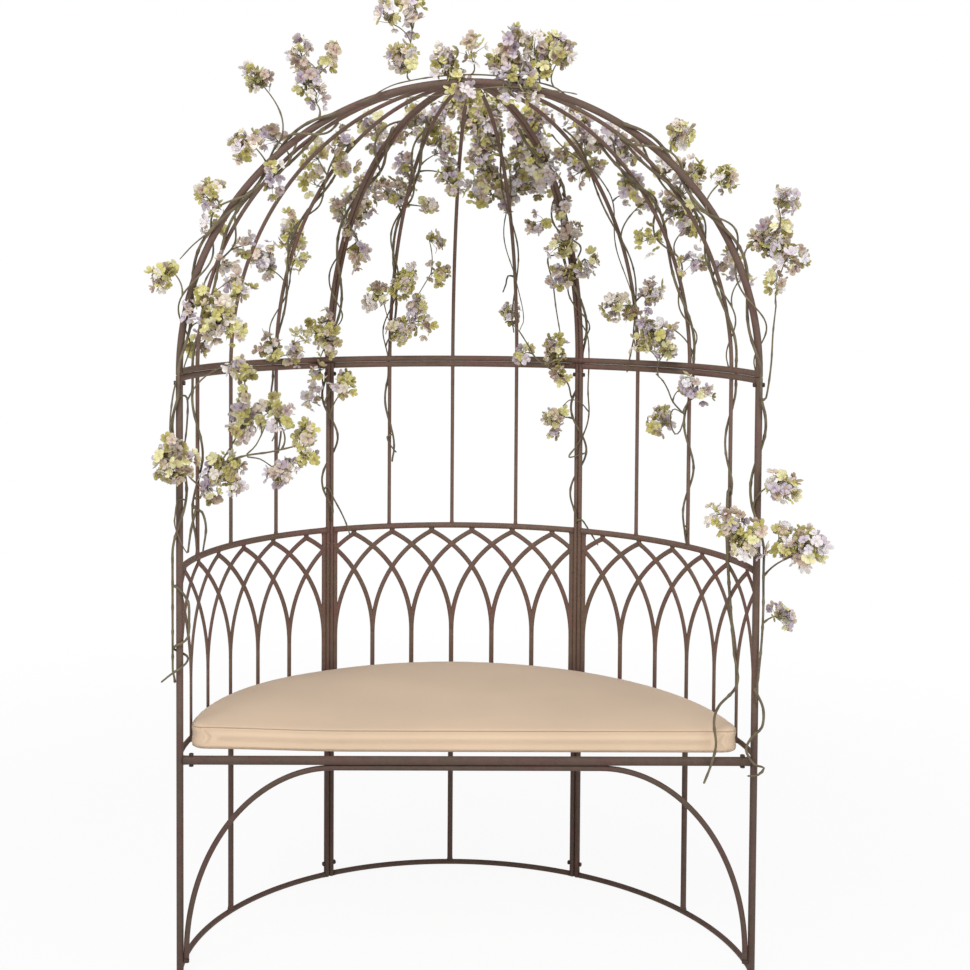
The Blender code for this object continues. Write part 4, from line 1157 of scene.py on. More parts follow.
def hexagon(seat, height, centre, axis, metal):
    """A bolt head or nut of a height: eased where it seats and chamfered at its free end."""
    flats = metal.bolt_across / 2
    end = seat + height
    step = (end - seat) / 4
    profile = [(seat, HEXAGON_SEAT * flats), (seat + 0.4 * step, flats)]
    profile += [(seat + 3 * step, flats), (end, HEXAGON_TIP * flats)]
    return revolved(profile, centre, axis, BOLT_TURN, 6, HEXAGON_SIDES)


def bolt(centre, axis, grip, metal):
    """A hexagon bolt and its nut: grip is the thickness that they hold, and axis points to the head."""
    seat = grip / 2 + JOINT_GAP
    head = hexagon(seat, BOLT_HEAD_LENGTH, centre, axis, metal)
    nut = hexagon(seat, NUT_LENGTH, centre, -np.asarray(axis, float), metal)
    return [shank(-seat, seat, centre, axis), head, nut]


def rest_screw(mouth, axis, metal):
    """The long-headed screw in a post that the foot of the front arch rests on."""
    head = hexagon(JOINT_GAP, REST_SCREW_HEAD_LENGTH, mouth, axis, metal)
    return [shank(-REST_SCREW_DEPTH, JOINT_GAP, mouth, axis), head]


def seat_deck(metal):
    """Straight bars from side to side of the seat rail, and three bearers welded under them."""
    size = metal.deck_diameter
    clear = HALF_WIDTH - SEAT_RAIL_D / 3
    z = SEAT_TOP_Z - size / 2
    bars = []
    places = np.linspace(DECK_FRONT_INSET, HALF_WIDTH - DECK_BACK_INSET, DECK_BARS)
    for place in places:
        x = math.sqrt(clear**2 - place**2)
        path = [(u, FRONT_Y + place, z) for u in np.linspace(-x, x, STRAIGHT_POINTS)]
        bars.append(bar(path, size, UP, (True, True), DECK_SWELL))
    reach = HALF_WIDTH - DECK_BEARER_INSET
    for x in np.linspace(-reach, reach, DECK_BEARERS):
        end = math.sqrt(clear**2 - x**2)
        ys = FRONT_Y + np.linspace(places[0] - size, end, STRAIGHT_POINTS)
        path = [(x, y, z - DECK_BEARER_DROP) for y in ys]
        bars.append(bar(path, size, UP, (False, True), DECK_SWELL))
    return bars


class ARBOUR_OT_bolts(MetalOperator, bpy.types.Operator):
    """Makes the bolts, nuts and screws that hold the panels together"""

    bl_idname = "arbour.bolts"
    bl_label = "Bolts and screws"

    def execute(self, context):
        metal = context.scene.arbour_metal
        for side, name in ((-1, "left"), (1, "right")):
            outward = np.array([side, 0.0, 0.0])
            post = np.array([side * HALF_WIDTH, FRONT_Y, 0.0])
            head = post + middle(f"spigot_bolt_{name}", 2) * UP
            self.add(f"spigot_bolt_{name}", bolt(head, outward, POST_D, metal), "bolt")
            place = (middle(f"rail_bolt_{name}", 0), FRONT_Y, FRONT_RAIL_Z)
            self.add(f"rail_bolt_{name}", bolt(place, -UP, FRONT_RAIL_D, metal), "bolt")
            mouth = post - POST_D / 2 * outward + middle(f"rest_screw_{name}", 2) * UP
            self.add(f"rest_screw_{name}", rest_screw(mouth, -outward, metal), "bolt")
            joint = JOINT_ANGLES[1] if side < 0 else JOINT_ANGLES[2]
            sideways = side * plan_frame(joint)[1]
            for kind, size in (("foot", LEG_D), ("stile", metal.stile_diameter)):
                node = f"{kind}_bolt_{name}"
                centre = plan_point(joint, middle(node, 2))
                self.add(node, bolt(centre, sideways, 2 * size + JOINT_GAP, metal), "bolt")
        return {"FINISHED"}


# Cushion


def cushion_outline(count):
    """The D of the cushion, evenly spaced and anticlockwise from above, in the plan.

    It is a straight front, a part of a small circle at each end of it, and an arc about the middle of the
    arbour's open front. Returned as outline points and the middle that the rings shrink towards.
    """
    front = CUSHION_FRONT_Y - FRONT_Y
    corner = CUSHION_CORNER
    y = front + corner
    x = math.sqrt((CUSHION_RADIUS - corner) ** 2 - y**2)
    turn = math.atan2(y, x)
    a = np.linspace(-math.pi / 2, turn, CUSHION_CORNER_POINTS)
    right = np.stack([x + corner * np.cos(a), y + corner * np.sin(a)], 1)
    b = np.linspace(turn, math.pi - turn, CUSHION_BACK_POINTS)[1:-1]
    back = CUSHION_RADIUS * np.stack([np.cos(b), np.sin(b)], 1)
    left = (right * (-1, 1))[::-1]
    outline = np.concatenate([right, back, left, right[:1]])
    length = along_path(outline)
    even = np.linspace(0.0, length[-1], count, endpoint=False)
    outline = np.stack([np.interp(even, length, outline[:, k]) for k in range(2)], 1)
    shift = np.array([CUSHION_SHIFT_X, FRONT_Y])
    return outline + shift, np.array([0.0, front + CUSHION_MIDDLE * CUSHION_RADIUS]) + shift


def cushion_levels(cushion, crown):
    """Rows of the cushion as (scale, height) pairs, from the middle of the underside to that of the top."""
    low_seam, high_seam = cushion.low_seam, CUSHION_EDGE
    waist = cushion.waist / CUSHION_RADIUS
    rows = [(k, 0.0) for k in np.linspace(CUSHION_HEART_SCALE, CUSHION_FLAT_SCALE, CUSHION_UNDER_ROWS)]
    rows += CUSHION_UNDER_EDGE
    rows += [(1 - waist * math.sin(math.pi * f) ** 2, low_seam + f * (high_seam - low_seam))
             for f in np.linspace(0.0, 1.0, CUSHION_SIDE_ROWS)]
    rows += [(CUSHION_UPPER_EDGE[0], high_seam + CUSHION_UPPER_EDGE[1])]
    rows += [(k, high_seam + CUSHION_TOP_RISE + crown * (1 - k**4))
             for k in np.linspace(CUSHION_TOP_SCALE, CUSHION_HEART_SCALE, CUSHION_TOP_ROWS)]
    return np.array(rows)


def cushion_shape(cushion, crown):
    """The cover before it is blown up: P(s, t) = M + k(s) (O(t) - M) + z(s) up.

    O(t) is the D outline, M its middle, and (k, z) run from the flat underside round the drawn-in side
    between the two seams to the crowned top.
    """
    outline, centre = cushion_outline(CUSHION_STEPS)
    rows = cushion_levels(cushion, crown)
    rings = np.empty((len(rows), len(outline), 3))
    rings[..., :2] = centre + rows[:, 0, None, None] * (outline - centre)
    rings[..., 2] = CUSHION_BOTTOM_Z + rows[:, 1, None]
    poles = [(*centre, CUSHION_BOTTOM_Z + z) for z in (rows[0, 1], rows[-1, 1])]
    return Shape(*capped_rings(rings, *poles))


def cushion_scale(points):
    """The scale k of the outline on which points lie in the plan, and the outline's reach at each."""
    outline, centre = cushion_outline(2 * CUSHION_STEPS)
    spoke = outline - centre
    angle = np.arctan2(spoke[:, 1], spoke[:, 0])
    order = np.argsort(angle)
    offset = points[:, :2] - centre
    turn = np.arctan2(offset[:, 1], offset[:, 0])
    reach = np.interp(turn, angle[order], np.linalg.norm(spoke, axis=1)[order], period=2 * math.pi)
    return np.linalg.norm(offset, axis=1) / reach, reach


def vertex_places(mesh):
    """A mesh's vertices as an array."""
    places = np.empty(3 * len(mesh.vertices), np.float32)
    mesh.vertices.foreach_get("co", places)
    return places.reshape(-1, 3).astype(float)


def move_vertices(mesh, places):
    """Puts a mesh's vertices at new places."""
    mesh.vertices.foreach_set("co", places.astype(np.float32).ravel())
    mesh.update()


def evaluated_mesh(obj):
    """A new mesh with an object's modifiers applied."""
    depsgraph = bpy.context.evaluated_depsgraph_get()
    depsgraph.update()
    return bpy.data.meshes.new_from_object(obj.evaluated_get(depsgraph))


def seam_heights(cushion):
    """Heights of the lower and the upper seam above the underside."""
    return cushion.low_seam / 2, CUSHION_EDGE


def seam_nearness(points, height, spread):
    """How near points are to the seam at a height: exp(-(d / spread)^2) with d the distance from it."""
    scale, reach = cushion_scale(points)
    away = (scale - SEAM_SCALE) * reach
    rise = points[:, 2] - CUSHION_BOTTOM_Z - height
    return np.exp(-(away**2 + rise**2) / spread**2)


def blown_up(mesh, cushion):
    """The cover after a cloth simulation with air pressure inside, its seams and underside held.

    It is remeshed in small even quads first. How far a point moves is capped softly: m' = c tanh(m / c).
    """
    blank = in_scene("cushion_blank", mesh)
    remesh = blank.modifiers.new("even_quads", "REMESH")
    remesh.mode = "VOXEL"
    remesh.voxel_size = cushion.quad_size
    blank.data = evaluated_mesh(blank)
    blank.modifiers.clear()

    start = vertex_places(blank.data)
    lower, upper = seam_heights(cushion)
    held = np.maximum(
        seam_nearness(start, lower, LOWER_SEAM_HOLD),
        seam_nearness(start, upper, UPPER_SEAM_HOLD),
    )
    underside = start[:, 2] < CUSHION_BOTTOM_Z + UNDERSIDE_HOLD
    held = np.where(underside, 1.0, np.clip(SEAM_HOLD_STRENGTH * held, 0.0, 1.0))
    group = blank.vertex_groups.new(name="held")
    steps = np.round(held * HOLD_STEPS).astype(int)
    for step in np.unique(steps):
        group.add(np.flatnonzero(steps == step).tolist(), float(step) / HOLD_STEPS, "REPLACE")
    cloth = blank.modifiers.new("cloth", "CLOTH")
    cloth.settings.vertex_group_mass = "held"
    cloth.settings.use_pressure = True
    cloth.settings.uniform_pressure_force = cushion.pressure
    cloth.settings.effector_weights.gravity = 0.0
    cloth.collision_settings.use_collision = False
    cloth.point_cache.frame_start = 1
    cloth.point_cache.frame_end = CLOTH_FRAMES
    for frame_number in range(1, CLOTH_FRAMES + 1):
        bpy.context.scene.frame_set(frame_number)
    swollen = evaluated_mesh(blank)
    move = vertex_places(swollen) - start
    size = np.linalg.norm(move, axis=1, keepdims=True) + 1e-9
    places = start + move / size * cushion.swell * np.tanh(size / cushion.swell)
    places[:, 2] = np.maximum(places[:, 2], CUSHION_BOTTOM_Z)
    move_vertices(swollen, places)
    bpy.context.scene.frame_set(1)
    bpy.data.objects.remove(blank)
    return swollen


def sewn(mesh, cushion):
    """One subdivision, and then a groove along each seam: points go in by d exp(-(distance / w)^2)."""
    blank = in_scene("cushion_blank", mesh)
    subdivision = blank.modifiers.new("subdivision", "SUBSURF")
    subdivision.levels = subdivision.render_levels = 1
    finer = evaluated_mesh(blank)
    bpy.data.objects.remove(blank)
    places = vertex_places(finer)
    normals = np.empty(3 * len(places), np.float32)
    finer.vertex_normals.foreach_get("vector", normals)
    near = np.maximum(*(seam_nearness(places, height, SEAM_GROOVE) for height in seam_heights(cushion)))
    places -= cushion.seam_depth * near[:, None] * normals.reshape(-1, 3)
    move_vertices(finer, places)
    finer.shade_smooth()
    return finer


def smooth_step(value):
    """3 t^2 - 2 t^3, with t the value kept between 0 and 1."""
    t = np.clip(value, 0.0, 1.0)
    return t * t * (3 - 2 * t)


def droop(mesh, cushion):
    """Lets the lower front edge hang and plumps the left end: z' = z - d F(y) G(x) (1 - h) + p L(x) h.

    F rises smoothly to 1 at the front edge, G from 0 at the left corner to 1, L to 1 at the left end, and h
    is the share of the height of the edge, so that what hangs leaves the upper seam level.
    """
    places = vertex_places(mesh)
    front = smooth_step((CUSHION_FRONT_Y + CUSHION_DROOP_REACH - places[:, 1]) / CUSHION_DROOP_REACH)
    along = smooth_step((places[:, 0] - CUSHION_DROOP_START_X) / CUSHION_DROOP_RISE_X)
    height = np.clip((places[:, 2] - CUSHION_BOTTOM_Z) / CUSHION_EDGE, 0.0, 1.0)
    end = smooth_step((CUSHION_PLUMP_X - places[:, 0]) / CUSHION_PLUMP_REACH)
    places[:, 2] += cushion.plump * end * height - cushion.droop * front * along * (1 - height)
    move_vertices(mesh, places)


def welt_path(mesh, height):
    """The line of a seam on the cover, as the mean of five neighbours.

    Each point is the place of the surface nearest to an outline point at the seam's height.
    """
    tree = BVHTree.FromPolygons([v.co for v in mesh.vertices], [p.vertices for p in mesh.polygons])
    outline, _ = cushion_outline(WELT_STEPS)
    path = []
    for x, y in outline:
        place, normal, _, _ = tree.find_nearest((x, y, CUSHION_BOTTOM_Z + height))
        path.append(place + WELT_STAND * normal)
    path = np.array([tuple(p) for p in path])
    neighbours = [np.roll(path, step, 0) for step in (-2, -1, 0, 1, 2)]
    return sum(neighbours) / len(neighbours)


def closed_ring(path, diameter, sides):
    """A round cord carried along a closed path: P(u, v) = C(u) + r (cos v a(u) + sin v b(u))."""
    run = unit(np.roll(path, -1, 0) - np.roll(path, 1, 0))
    second = unit(np.cross(run, UP))
    first = np.cross(second, run)
    points = path[:, None] + diameter / 2 * spokes_round(first, second, sides)
    rows = len(path)
    i, j = np.meshgrid(np.arange(rows), np.arange(sides), indexing="ij")
    k, m = (j + 1) % sides, (i + 1) % rows
    quads = np.stack([i * sides + j, i * sides + k, m * sides + k, m * sides + j], -1)
    return Shape(points, quads, [])


# Cloth: bumps to a metre, relief in metres, and how strongly the threads and slubs show
CLOTH_DRIFT_SCALE = 3.2
SLUB_SCALE = 55.0
SLUB_DEPTH = 0.0006
SLUB_SHARE = 0.14
WEAVE_SCALE = 300.0
WEAVE_DEPTH = 0.0003
WEAVE_SHARE = 0.16


def cotton(name, tone):
    """Plain woven cotton: two crossing sets of threads with slubs, and tones that drift over the cover."""
    finish = Finish(name, 0.86)
    place = finish.place()
    drift = finish.noise(CLOTH_DRIFT_SCALE, 3.0)
    drift = finish.ramp(drift, [(0.35, shade(tone, 0.95)), (0.65, shade(tone, 1.04))])
    slubs = finish.noise(SLUB_SCALE, 5.0, rough=0.7)
    threads = []
    for turn in (0.0, math.pi / 2):
        turning = {"Vector": place, "Axis": tuple(UP), "Angle": turn}
        turned = finish.node("ShaderNodeVectorRotate", turning)
        wave = {"Vector": turned, "Scale": WEAVE_SCALE, "Distortion": 0.6, "Detail": 2.0}
        threads.append(finish.node("ShaderNodeTexWave", wave, "Fac"))
    weave = finish.math("MULTIPLY", threads[0], threads[1])
    cloth = finish.mix(finish.math("MULTIPLY", weave, WEAVE_SHARE), drift, shade(tone, 0.72))
    pale = finish.math("MULTIPLY", slubs, SLUB_SHARE)
    finish.set("Base Color", finish.mix(pale, cloth, shade(tone, 1.12)))
    finish.set("Normal", finish.bump(weave, WEAVE_DEPTH, finish.bump(slubs, SLUB_DEPTH)))
    finish.set("Sheen Weight", 0.22)
    finish.set("Sheen Roughness", 0.55)
    finish.set("Specular IOR Level", 0.18)
    return finish.material


class ARBOUR_OT_cushion(bpy.types.Operator):
    """Makes the boxed D-shaped cushion with its two seams"""

    bl_idname = "arbour.cushion"
    bl_label = "Seat cushion"
    bl_options = {"REGISTER", "UNDO"}

    def execute(self, context):
        cushion = context.scene.arbour_cushion
        tone = tuple(cushion.cloth_colour)
        fabric = cotton("cushion_cotton", tone)
        crown = cushion.crown + 0.0
        cover = cushion_shape(cushion, crown)
        piece = add_piece("seat_cushion_cover", cover, fabric, "cushion", "seat_cushion")
        piece.data = sewn(blown_up(piece.data, cushion), cushion)
        piece.data.materials.clear()
        piece.data.materials.append(fabric)
        # The seam ridges are darker than the cover: painted shade of the crease they lie in
        seam_shade_cloth = cotton("cushion_seam", shade(tone, SEAM_SHADE_TONE))
        for name, height in zip(("lower", "upper"), seam_heights(cushion)):
            ring = closed_ring(welt_path(piece.data, height), cushion.welt_diameter, WELT_SIDES)
            welt = add_piece(f"cushion_seam_{name}", ring, seam_shade_cloth, "cushion")
            droop(welt.data, cushion)
        droop(piece.data, cushion)
        return {"FINISHED"}


# Garlands


class Carrier:
    """What a garland winds round: an upright bar and the quarter circle above it.

    A place along it is a length from the spring of the dome, upwards positive. Outward points away from the
    shell, sideways lies in it or, on the hoop, to the front. The corner is the largest half width of the bar
    or pair, and the flat its half width where the stem's lower end lies against it.
    """

    def __init__(self, angle, corner, flat):
        self.outward, self.sideways = plan_frame(angle)
        if angle in (JOINT_ANGLES[0], JOINT_ANGLES[-1]):
            self.sideways = -ACROSS_FRONT
        stem_corner = STEM_D / 2 / math.cos(math.pi / STEM_CORNER_SIDES)
        self.stem_reach = (corner + stem_corner + STEM_CLEARANCE) / math.cos(MOST_STEM_TURN * math.pi / 4)
        self.end_reach = flat + STEM_D / 2 + JOINT_GAP

    def point(self, along, out=0.0, side=0.0):
        """C(s) = foot + (R + out) (cos(s / R) outward + sin(s / R) up) + side sideways.

        Below the spring of the dome, where s < 0, it runs straight down.
        """
        along, out, side = np.broadcast_arrays(np.asarray(along, float), out, side)
        turn = np.maximum(along, 0.0) / HALF_WIDTH
        outward = np.cos(turn)[..., None] * self.outward + np.sin(turn)[..., None] * UP
        foot = np.array([0.0, FRONT_Y, DOME_Z]) + np.minimum(along, 0.0)[..., None] * UP
        return foot + (HALF_WIDTH + out)[..., None] * outward + side[..., None] * self.sideways


def strand(carrier, stations, wander=0.0, phase=0.0):
    """The centre line of a stem wound round its carrier.

    C(s) = carrier(s) + q(s) (cos w(s) outward + sin w(s) sideways). The turn w runs evenly between the
    stations, with its corners smoothed, and the reach q is the frame's, with a slow wander on top. The lower
    end comes in to lie against its bar.
    """
    low, low_turn = stations[0]
    places, turns = np.array([(low - STEM_END_LENGTH, low_turn), *stations], float).T
    along = np.arange(places[0], places[-1] + STEM_STEP / 2, STEM_STEP)
    window = np.array([1.0, 2.0, 3.0, 2.0, 1.0]) / 9
    turn = np.convolve(np.pad(np.interp(along, places, turns), 2, mode="edge"), window, "valid") * math.pi / 2
    rise = smooth_step((along - places[0]) / STEM_END_LENGTH)
    reach = carrier.end_reach + rise * (carrier.stem_reach - carrier.end_reach)
    away_from_rails = 1 - np.exp(-((along / RAIL_REACH) ** 2))
    wave = 0.5 + 0.5 * np.sin(along * WANDER_TURN + WANDER_PHASE * phase)
    reach = reach + wander * rise * away_from_rails * wave
    return carrier.point(along, reach * np.cos(turn + phase), reach * np.sin(turn + phase))


def stem(path, size, green, taper=STEM_TAPER, sides=STEM_SIDES):
    """A stem carried along a path, with a small knot every few centimetres and a thinner end.

    r(s) = d/2 (1 - (1 - taper) u^2) (1 + k exp(-(m / w)^2)), with u the share of the length and m the
    distance to the nearest knot.
    """
    length = along_path(path)
    share = length / length[-1]
    knot = np.abs((length + KNOT_SPACING / 3) % KNOT_SPACING - KNOT_SPACING / 2)
    knots = 1 + KNOT_SWELL * np.exp(-((knot / KNOT_WIDTH) ** 2))
    radius = size / 2 * (1 - (1 - taper) * share**2) * knots
    run, first, second = path_frame(path, STEM_LEAN)
    rings = path[:, None] + radius[:, None, None] * spokes_round(first, second, sides)
    poles = (path[0] - radius[0] * run[0], path[-1] + radius[-1] * run[-1])
    points, quads, tris = capped_rings(rings, *poles)
    return Shape(points, quads, tris, green=green)


def curve_through(start, bend, end, steps):
    """C(t) = (1 - t)^2 start + 2 t (1 - t) bend + t^2 end."""
    t = np.linspace(0.0, 1.0, steps)[:, None]
    return (1 - t) ** 2 * start + 2 * t * (1 - t) * bend + t**2 * end


def smooth_path(points, step):
    """A smooth curve through given points, at each along the line between its two neighbours.

    Between neighbours a and b with slopes m and n, C(t) = (2 t^3 - 3 t^2 + 1) a + (t^3 - 2 t^2 + t) m
    + (3 t^2 - 2 t^3) b + (t^3 - t^2) n.
    """
    points = np.asarray(points, float)
    inner = (points[2:] - points[:-2]) / 2
    slopes = np.concatenate([[points[1] - points[0]], inner, [points[-1] - points[-2]]])
    pieces = []
    for a, b, m, n in zip(points, points[1:], slopes, slopes[1:]):
        count = max(2, int(np.linalg.norm(b - a) / step))
        t = np.arange(count)[:, None] / count
        pieces.append((2 * t**3 - 3 * t**2 + 1) * a + (t**3 - 2 * t**2 + t) * m
                      + (3 * t**2 - 2 * t**3) * b + (t**3 - t**2) * n)
    return np.concatenate([*pieces, points[-1:]])


class Tree:
    """The stems of one garland as they grow: the points that a twig may leave, with run and thickness."""

    def __init__(self, main, size):
        self.places, self.runs = np.empty((0, 3)), np.empty((0, 3))
        self.sizes = np.empty(0)
        self.add(main, np.full(len(main), size))

    def add(self, path, sizes):
        """Takes in the points of a stem."""
        self.places = np.concatenate([self.places, path])
        self.runs = np.concatenate([self.runs, unit(np.gradient(path, axis=0))])
        self.sizes = np.concatenate([self.sizes, sizes])

    def nearest(self, point):
        """The nearest place of the tree."""
        return self.places[np.linalg.norm(self.places - point, axis=1).argmin()]

    def twig(self, rng, tip):
        """A twig to a tip, from the cheapest place of the tree: its path and its thickness at the root.

        A place costs its distance times TWIG_COST - TWIG_CLIMB c, where c is the sine of the twig's climb
        from there. The twig leaves half along its parent and bends over to the tip, thinner than the parent
        and thinner on.
        """
        reach = tip - self.places
        away = np.linalg.norm(reach, axis=1)
        k = int((away * (TWIG_COST - TWIG_CLIMB * reach[:, 2] / away)).argmin())
        straight = reach[k] / away[k]
        parent = self.runs[k] * (1 if self.runs[k] @ straight > 0 else -1)
        turn = unit(parent + straight + TWIG_CROOK * rng.normal(size=3))
        bend = self.places[k] + TWIG_BEND * away[k] * turn
        path = curve_through(self.places[k], bend, tip, TWIG_POINTS)
        size = max(TWIG_TIP_D, min(TWIG_D, TWIG_SHARE * self.sizes[k]))
        sizes = np.linspace(size, TWIG_TIP_D, TWIG_POINTS)
        self.add(path[TWIG_BARE_POINTS:], sizes[TWIG_BARE_POINTS:])
        return path, size


def petal_grid(petals, cup, width):
    """One floret of closed petals, as points, quads, triangles and how far each point is along its petal.

    A petal has its heart at the origin, is widest at w along u at four fifths of its length and ends in a
    broad tip: P(u, v) = (v, u w, c v^2 - f |u|), turned about the floret's axis. Its underside is flat
    across, so that the raised middle gives it a body. The petals turn, grow and rise a little unevenly.
    """
    petal = [(v, u * width, cup * v**2 - PETAL_FOLD * abs(u), v) for v, u in PETAL_RIM]
    v, raised = PETAL_MIDDLE
    petal = np.array([*petal, (v, 0.0, cup * v**2 + raised, v)])
    tri = [(k, (k + 1) % 7, 7) for k in range(7)] + [(0, 6, 1)]
    quad = [(1, 6, 5, 2), (2, 5, 4, 3)]
    points, quads, tris = [], [], []
    for k in range(petals):
        a = 2 * math.pi * (k + PETAL_TURN * math.sin(5.0 * k)) / petals
        turn = np.array([[math.cos(a), -math.sin(a), 0.0], [math.sin(a), math.cos(a), 0.0], [0.0, 0.0, 1.0]])
        size = 1 + PETAL_GROWTH * math.cos(3.0 * k)
        moved = petal[:, :3] @ turn.T * size + (0.0, 0.0, PETAL_LIFT * k)
        points.append(np.concatenate([moved, petal[:, 3:]], 1))
        quads += [tuple(k * len(petal) + i for i in face) for face in quad]
        tris += [tuple(k * len(petal) + i for i in face) for face in tri]
    return np.concatenate(points), np.array(quads), np.array(tris)


def florets(kinds, places, normals, sizes, spins, tints, tones):
    """Copies of the floret kinds, each turned to its normal, spun about it and scaled to its size."""
    shapes = []
    kind_of = np.arange(len(places)) % len(kinds)
    first = unit(np.cross(normals, FLORET_LEAN))
    second = np.cross(normals, first)
    across = np.cos(spins)[:, None] * first + np.sin(spins)[:, None] * second
    other = np.cross(normals, across)
    axes = np.stack([across, other, normals], 1)
    for k, (points, quads, tris) in enumerate(kinds):
        mine = np.flatnonzero(kind_of == k)
        if not len(mine):
            continue
        local = points[None, :, :3] * sizes[mine, None, None] / 2
        world = np.einsum("npk,nkc->npc", local, axes[mine]) + places[mine, None]
        starts = np.arange(len(mine))[:, None, None] * len(points)
        count = len(points)
        shapes.append(Shape(
            world, quads[None] + starts, tris[None] + starts,
            petal=np.tile(points[:, 3], len(mine)),
            tint=np.repeat(tints[mine], count),
            tone=np.repeat(tones[mine], count),
        ))
    return joined(shapes)


def camera_axes():
    """The photograph's camera: its place and its unit vectors forward, right and up."""
    yaw, pitch, roll = CAMERA_YAW, CAMERA_PITCH, CAMERA_ROLL
    forward = np.array([math.sin(yaw) * math.cos(pitch), math.cos(yaw) * math.cos(pitch), -math.sin(pitch)])
    level = np.array([math.cos(yaw), -math.sin(yaw), 0.0])
    above = np.cross(level, forward)
    right = math.cos(roll) * level + math.sin(roll) * above
    up = math.cos(roll) * above - math.sin(roll) * level
    return np.array(CAMERA_PLACE), forward, right, up


def sight(pixel):
    """The camera's place and the unit vector from it through a pixel of the photograph."""
    place, forward, right, up = camera_axes()
    u, v = pixel
    line = CAMERA_FOCUS_PX * forward + (u - CAMERA_AXIS_PX[0]) * right - (v - CAMERA_AXIS_PX[1]) * up
    return place, unit(line)


def seen_at(pixel, y):
    """The point on a pixel's line of sight at a depth y."""
    place, line = sight(pixel)
    return place + (y - place[1]) / line[1] * line


def garland_carrier(angle, metal):
    """The carrier of a garland: a post and the hoop, a pair of stiles and ribs, or a rod and its rib."""
    if angle in (JOINT_ANGLES[0], JOINT_ANGLES[-1]):
        return Carrier(angle, POST_D / 2 / math.cos(math.pi / POST_CORNERS), POST_D / 2)
    if angle in JOINT_ANGLES:
        pair = math.hypot(JOINT_GAP / 2 + metal.edge_rib_diameter, metal.edge_rib_diameter / 2)
        return Carrier(angle, pair, metal.stile_diameter / 2)
    corner = metal.rib_diameter / 2 / math.cos(math.pi / ROD_CORNERS)
    return Carrier(angle, corner, metal.rod_diameter / 2)


def drawn(rng, draw, count=None):
    """Random numbers between the least value of a draw and its span above that."""
    least, span = draw
    return least + span * rng.random(count)


def place_sprays(garlands, rng):
    """The sprays of each garland, as centres and reaches.

    The main ones stand where the frame's node has them. Each of the others lies on the line of sight of a
    pixel of the photograph, at the depth of the nearest main spray or stem, before or behind a bare stem.
    """
    found, owners, points, pulls = {}, [], [], []
    for name, (carrier, path, sprays) in garlands.items():
        found[name] = [(carrier.point(along, out, side), radius) for along, out, side, radius in sprays]
        points += [path, np.array([centre for centre, _ in found[name]])]
        pulls += [np.zeros(len(path)), np.full(len(sprays), SPRAY_PULL)]
        owners += [name] * (len(path) + len(sprays))
    points, pulls = np.concatenate(points), np.concatenate(pulls)
    for i, pixel in enumerate(SPRAYS):
        place, line = sight(pixel)
        offset = points - place
        depth = offset @ line
        gap = np.linalg.norm(offset - depth[:, None] * line, axis=1)
        k = int((gap - pulls).argmin())
        shift = SPRAY_DEPTH * (rng.random() - 0.5)
        if not pulls[k]:
            shift += (1 if i % 2 else -1) * max(0.0, SPRAY_BESIDE_STEM - gap[k])
        reach = SPRAY_REACH * drawn(rng, SPRAY_REACH_DRAW)
        found[owners[k]].append((place + (depth[k] + shift) * line, reach))
    return found


def spray(rng, centre, reach, heart, kinds):
    """The florets of one spray with their stalks: they crowd its outer half and face away from its heart."""
    count = int(FLORETS_AT_30_MM * (reach / 0.030) ** 2 * drawn(rng, FLORET_COUNT_DRAW))
    away = unit(centre - heart)
    ray = unit(rng.normal(size=(count, 3)) + SPRAY_AWAY * away + SPRAY_RISE * UP)
    spread = reach * rng.random(count) ** SPRAY_CROWDING
    places = centre + spread[:, None] * ray * SPRAY_SQUASH
    normals = unit(ray + FLORET_TUMBLE * rng.normal(size=(count, 3)))
    sizes = FLORET_SIZE * drawn(rng, FLORET_SIZE_DRAW, count)
    leaning = np.clip(rng.normal(*SPRAY_TINT), *SPRAY_TINT_LIMITS)
    patch = unit(rng.normal(size=3))
    tints = leaning + (ray @ patch) * PATCH_TINT + FLORET_TINT * rng.normal(size=count)
    spins = 2 * math.pi * rng.random(count)
    tones = rng.random(count) ** FLORET_TONE_POWER
    flowers = florets(kinds, places, normals, sizes, spins, np.clip(tints, 0.0, 1.0), tones)
    stalks = []
    for place, normal in zip(places[::2], normals[::2]):
        bend = (heart + place) / 2 - STALK_BEND * reach * normal
        path = curve_through(heart, bend, place, STALK_POINTS)
        stalks.append(stem(path, STALK_D, STALK_GREEN, STALK_TAPER, STALK_SIDES))
    return flowers, stalks


# Stops of the petals' colour ramps, from dark to pale, and of the ramps of bark and twigs, and the bumps to a
# metre and the relief of each
PETAL_STOPS = {
    "mauve": [(0.0, (0.36, 0.28, 0.37)), (0.30, (0.58, 0.49, 0.61)),
              (0.60, (0.78, 0.70, 0.80)), (0.90, (0.97, 0.93, 0.96))],
    "rose": [(0.0, (0.32, 0.21, 0.15)), (0.30, (0.56, 0.42, 0.33)),
             (0.60, (0.78, 0.65, 0.54)), (0.90, (0.97, 0.91, 0.85))],
    "lime": [(0.0, (0.26, 0.22, 0.03)), (0.30, (0.48, 0.43, 0.07)),
             (0.65, (0.68, 0.63, 0.17)), (0.95, (0.90, 0.86, 0.50))],
}
